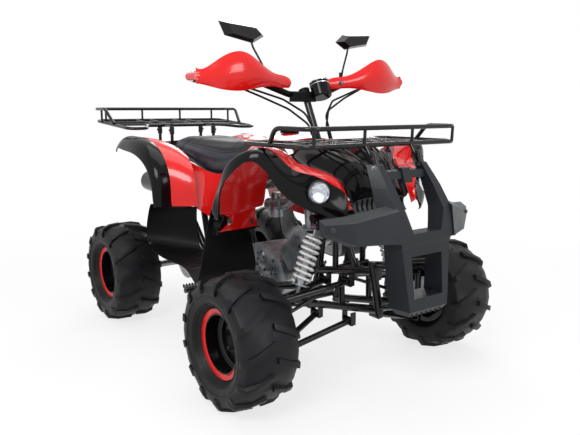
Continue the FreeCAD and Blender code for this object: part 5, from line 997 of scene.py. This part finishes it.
def hood_ridges():
    """Two ridges along each side of the hood, thinner at their ends."""
    shape = bmesh.new()
    for side in (-1, 1):
        for start, end, width in HOOD_RIDGES:
            points, normals = draped("hood", Vector((start[0], start[1] * side, RAY_TOP)),
                                     Vector((end[0], end[1] * side, RAY_TOP)), RIDGE_POINTS)
            if len(points) > RIDGE_LEAST:
                last = len(points) - 1
                taper = [RIDGE_END + (1 - RIDGE_END) * math.sqrt(max(0.0, math.sin(math.pi * k / last)))
                         for k in range(len(points))]
                add_strip(shape, points, width, RIDGE_FLATNESS, normals, RIDGE_SIDES, taper)
    make_piece("hood_ridges", shape, black_gloss, "chassis")


def nose_mesh():
    """A dark plate between the hood's front edge and the lip, with the mesh's bars on it."""
    rows = []
    for k in range(-NOSE_COLUMNS, NOSE_COLUMNS + 1):
        y = k * NOSE_PITCH
        low = hit("nose", (RAY_TOP, y, NOSE_LOW), -FORWARD)
        high = None
        for step in range(NOSE_STEPS):
            high = high or hit("hood", (RAY_TOP, y, NOSE_HIGH + NOSE_STEP * step), -FORWARD)
        if low and high and high[0].x > NOSE_FRONT:
            rows.append((low[0] + NOSE_LOW_BACK, high[0] + NOSE_HIGH_SHIFT))
    shape = bmesh.new()
    plate = FORWARD * NOSE_PLATE
    if len(rows) > 2:
        add_loft(shape, [[low, high, high - plate, low - plate] for low, high in rows])
        for low, high in rows[1:-1:2]:
            add_strip(shape, [low.lerp(high, share) + plate for share in NOSE_BAR_SHARES], NOSE_BAR_RADIUS,
                      normals=[FORWARD] * len(NOSE_BAR_SHARES))
        for share in NOSE_CROSS_SHARES:
            add_strip(shape, [low.lerp(high, share) + plate for low, high in rows], NOSE_BAR_RADIUS)
    make_piece("nose_mesh", shape, black_plastic, "chassis")


def add_draped(shape, node_name, start, end, count, radius, direction=-UPWARD, flat=1.0, lift=0.0):
    """A bar laid on a node under a straight line, where enough of it meets the node."""
    points, normals = draped(node_name, Vector(start), Vector(end), count, direction, lift)
    if len(points) > STRIP_LEAST:
        add_strip(shape, points, radius, flat, normals)


def nose_slats():
    """Upright slats on the lip."""
    shape = bmesh.new()
    for k in range(-SLATS, SLATS + 1):
        y = k * SLAT_PITCH
        add_draped(shape, "nose", (RAY_TOP, y, SLAT_TOP), (RAY_TOP, y, SLAT_FOOT), SLAT_POINTS, SLAT_RADIUS,
                   -FORWARD, lift=SLAT_LIFT)
    make_piece("nose_slats", shape, black_plastic, "chassis")


def footwell_treads():
    """Ribs across the footwells' floors."""
    shape = bmesh.new()
    for side in (-1, 1):
        for k in range(TREADS):
            x = TREAD_START + TREAD_PITCH * k
            add_draped(shape, "footwells", (x, side * TREAD_IN, TREAD_RAY), (x, side * TREAD_OUT, TREAD_RAY),
                       TREAD_POINTS, TREAD_RADIUS, flat=TREAD_FLATNESS)
    make_piece("footwell_treads", shape, black_plastic, "chassis")


def footpeg_teeth():
    """Two rows of teeth on each footpeg."""
    shape = bmesh.new()
    for side in (-1, 1):
        for k in range(TEETH):
            for x in TOOTH_ROWS:
                found = hit("footpegs", (x, side * (TOOTH_START + TOOTH_PITCH * k), TOOTH_RAY), -UPWARD)
                if found:
                    add_turned(shape, found[0], UPWARD, TOOTH_PROFILE, TOOTH_SIDES)
    make_piece("footpeg_teeth", shape, black_metal, "chassis")


def bumper_ribs():
    """Ribs along the underside of the bumper's box."""
    shape = bmesh.new()
    for k in range(-BUMPER_RIBS, BUMPER_RIBS + 1):
        y = k * BUMPER_RIB_PITCH
        add_draped(shape, "bumper", (BUMPER_RIB_BACK, y, BUMPER_RAY), (BUMPER_RIB_FRONT, y, BUMPER_RAY),
                   BUMPER_RIB_POINTS, BUMPER_RIB_RADIUS, UPWARD)
    make_piece("bumper_ribs", shape, bumper_plastic, "chassis")


hood_ridges()
nose_mesh()
nose_slats()
footwell_treads()
footpeg_teeth()
bumper_ribs()

# Camera, lamps and the end ------------------------------------------------------------------------

make_camera()
make_stage()
for lamp_values in LAMPS:
    soft_lamp(*lamp_values)

bpy.context.scene.view_settings.view_transform = "Standard"
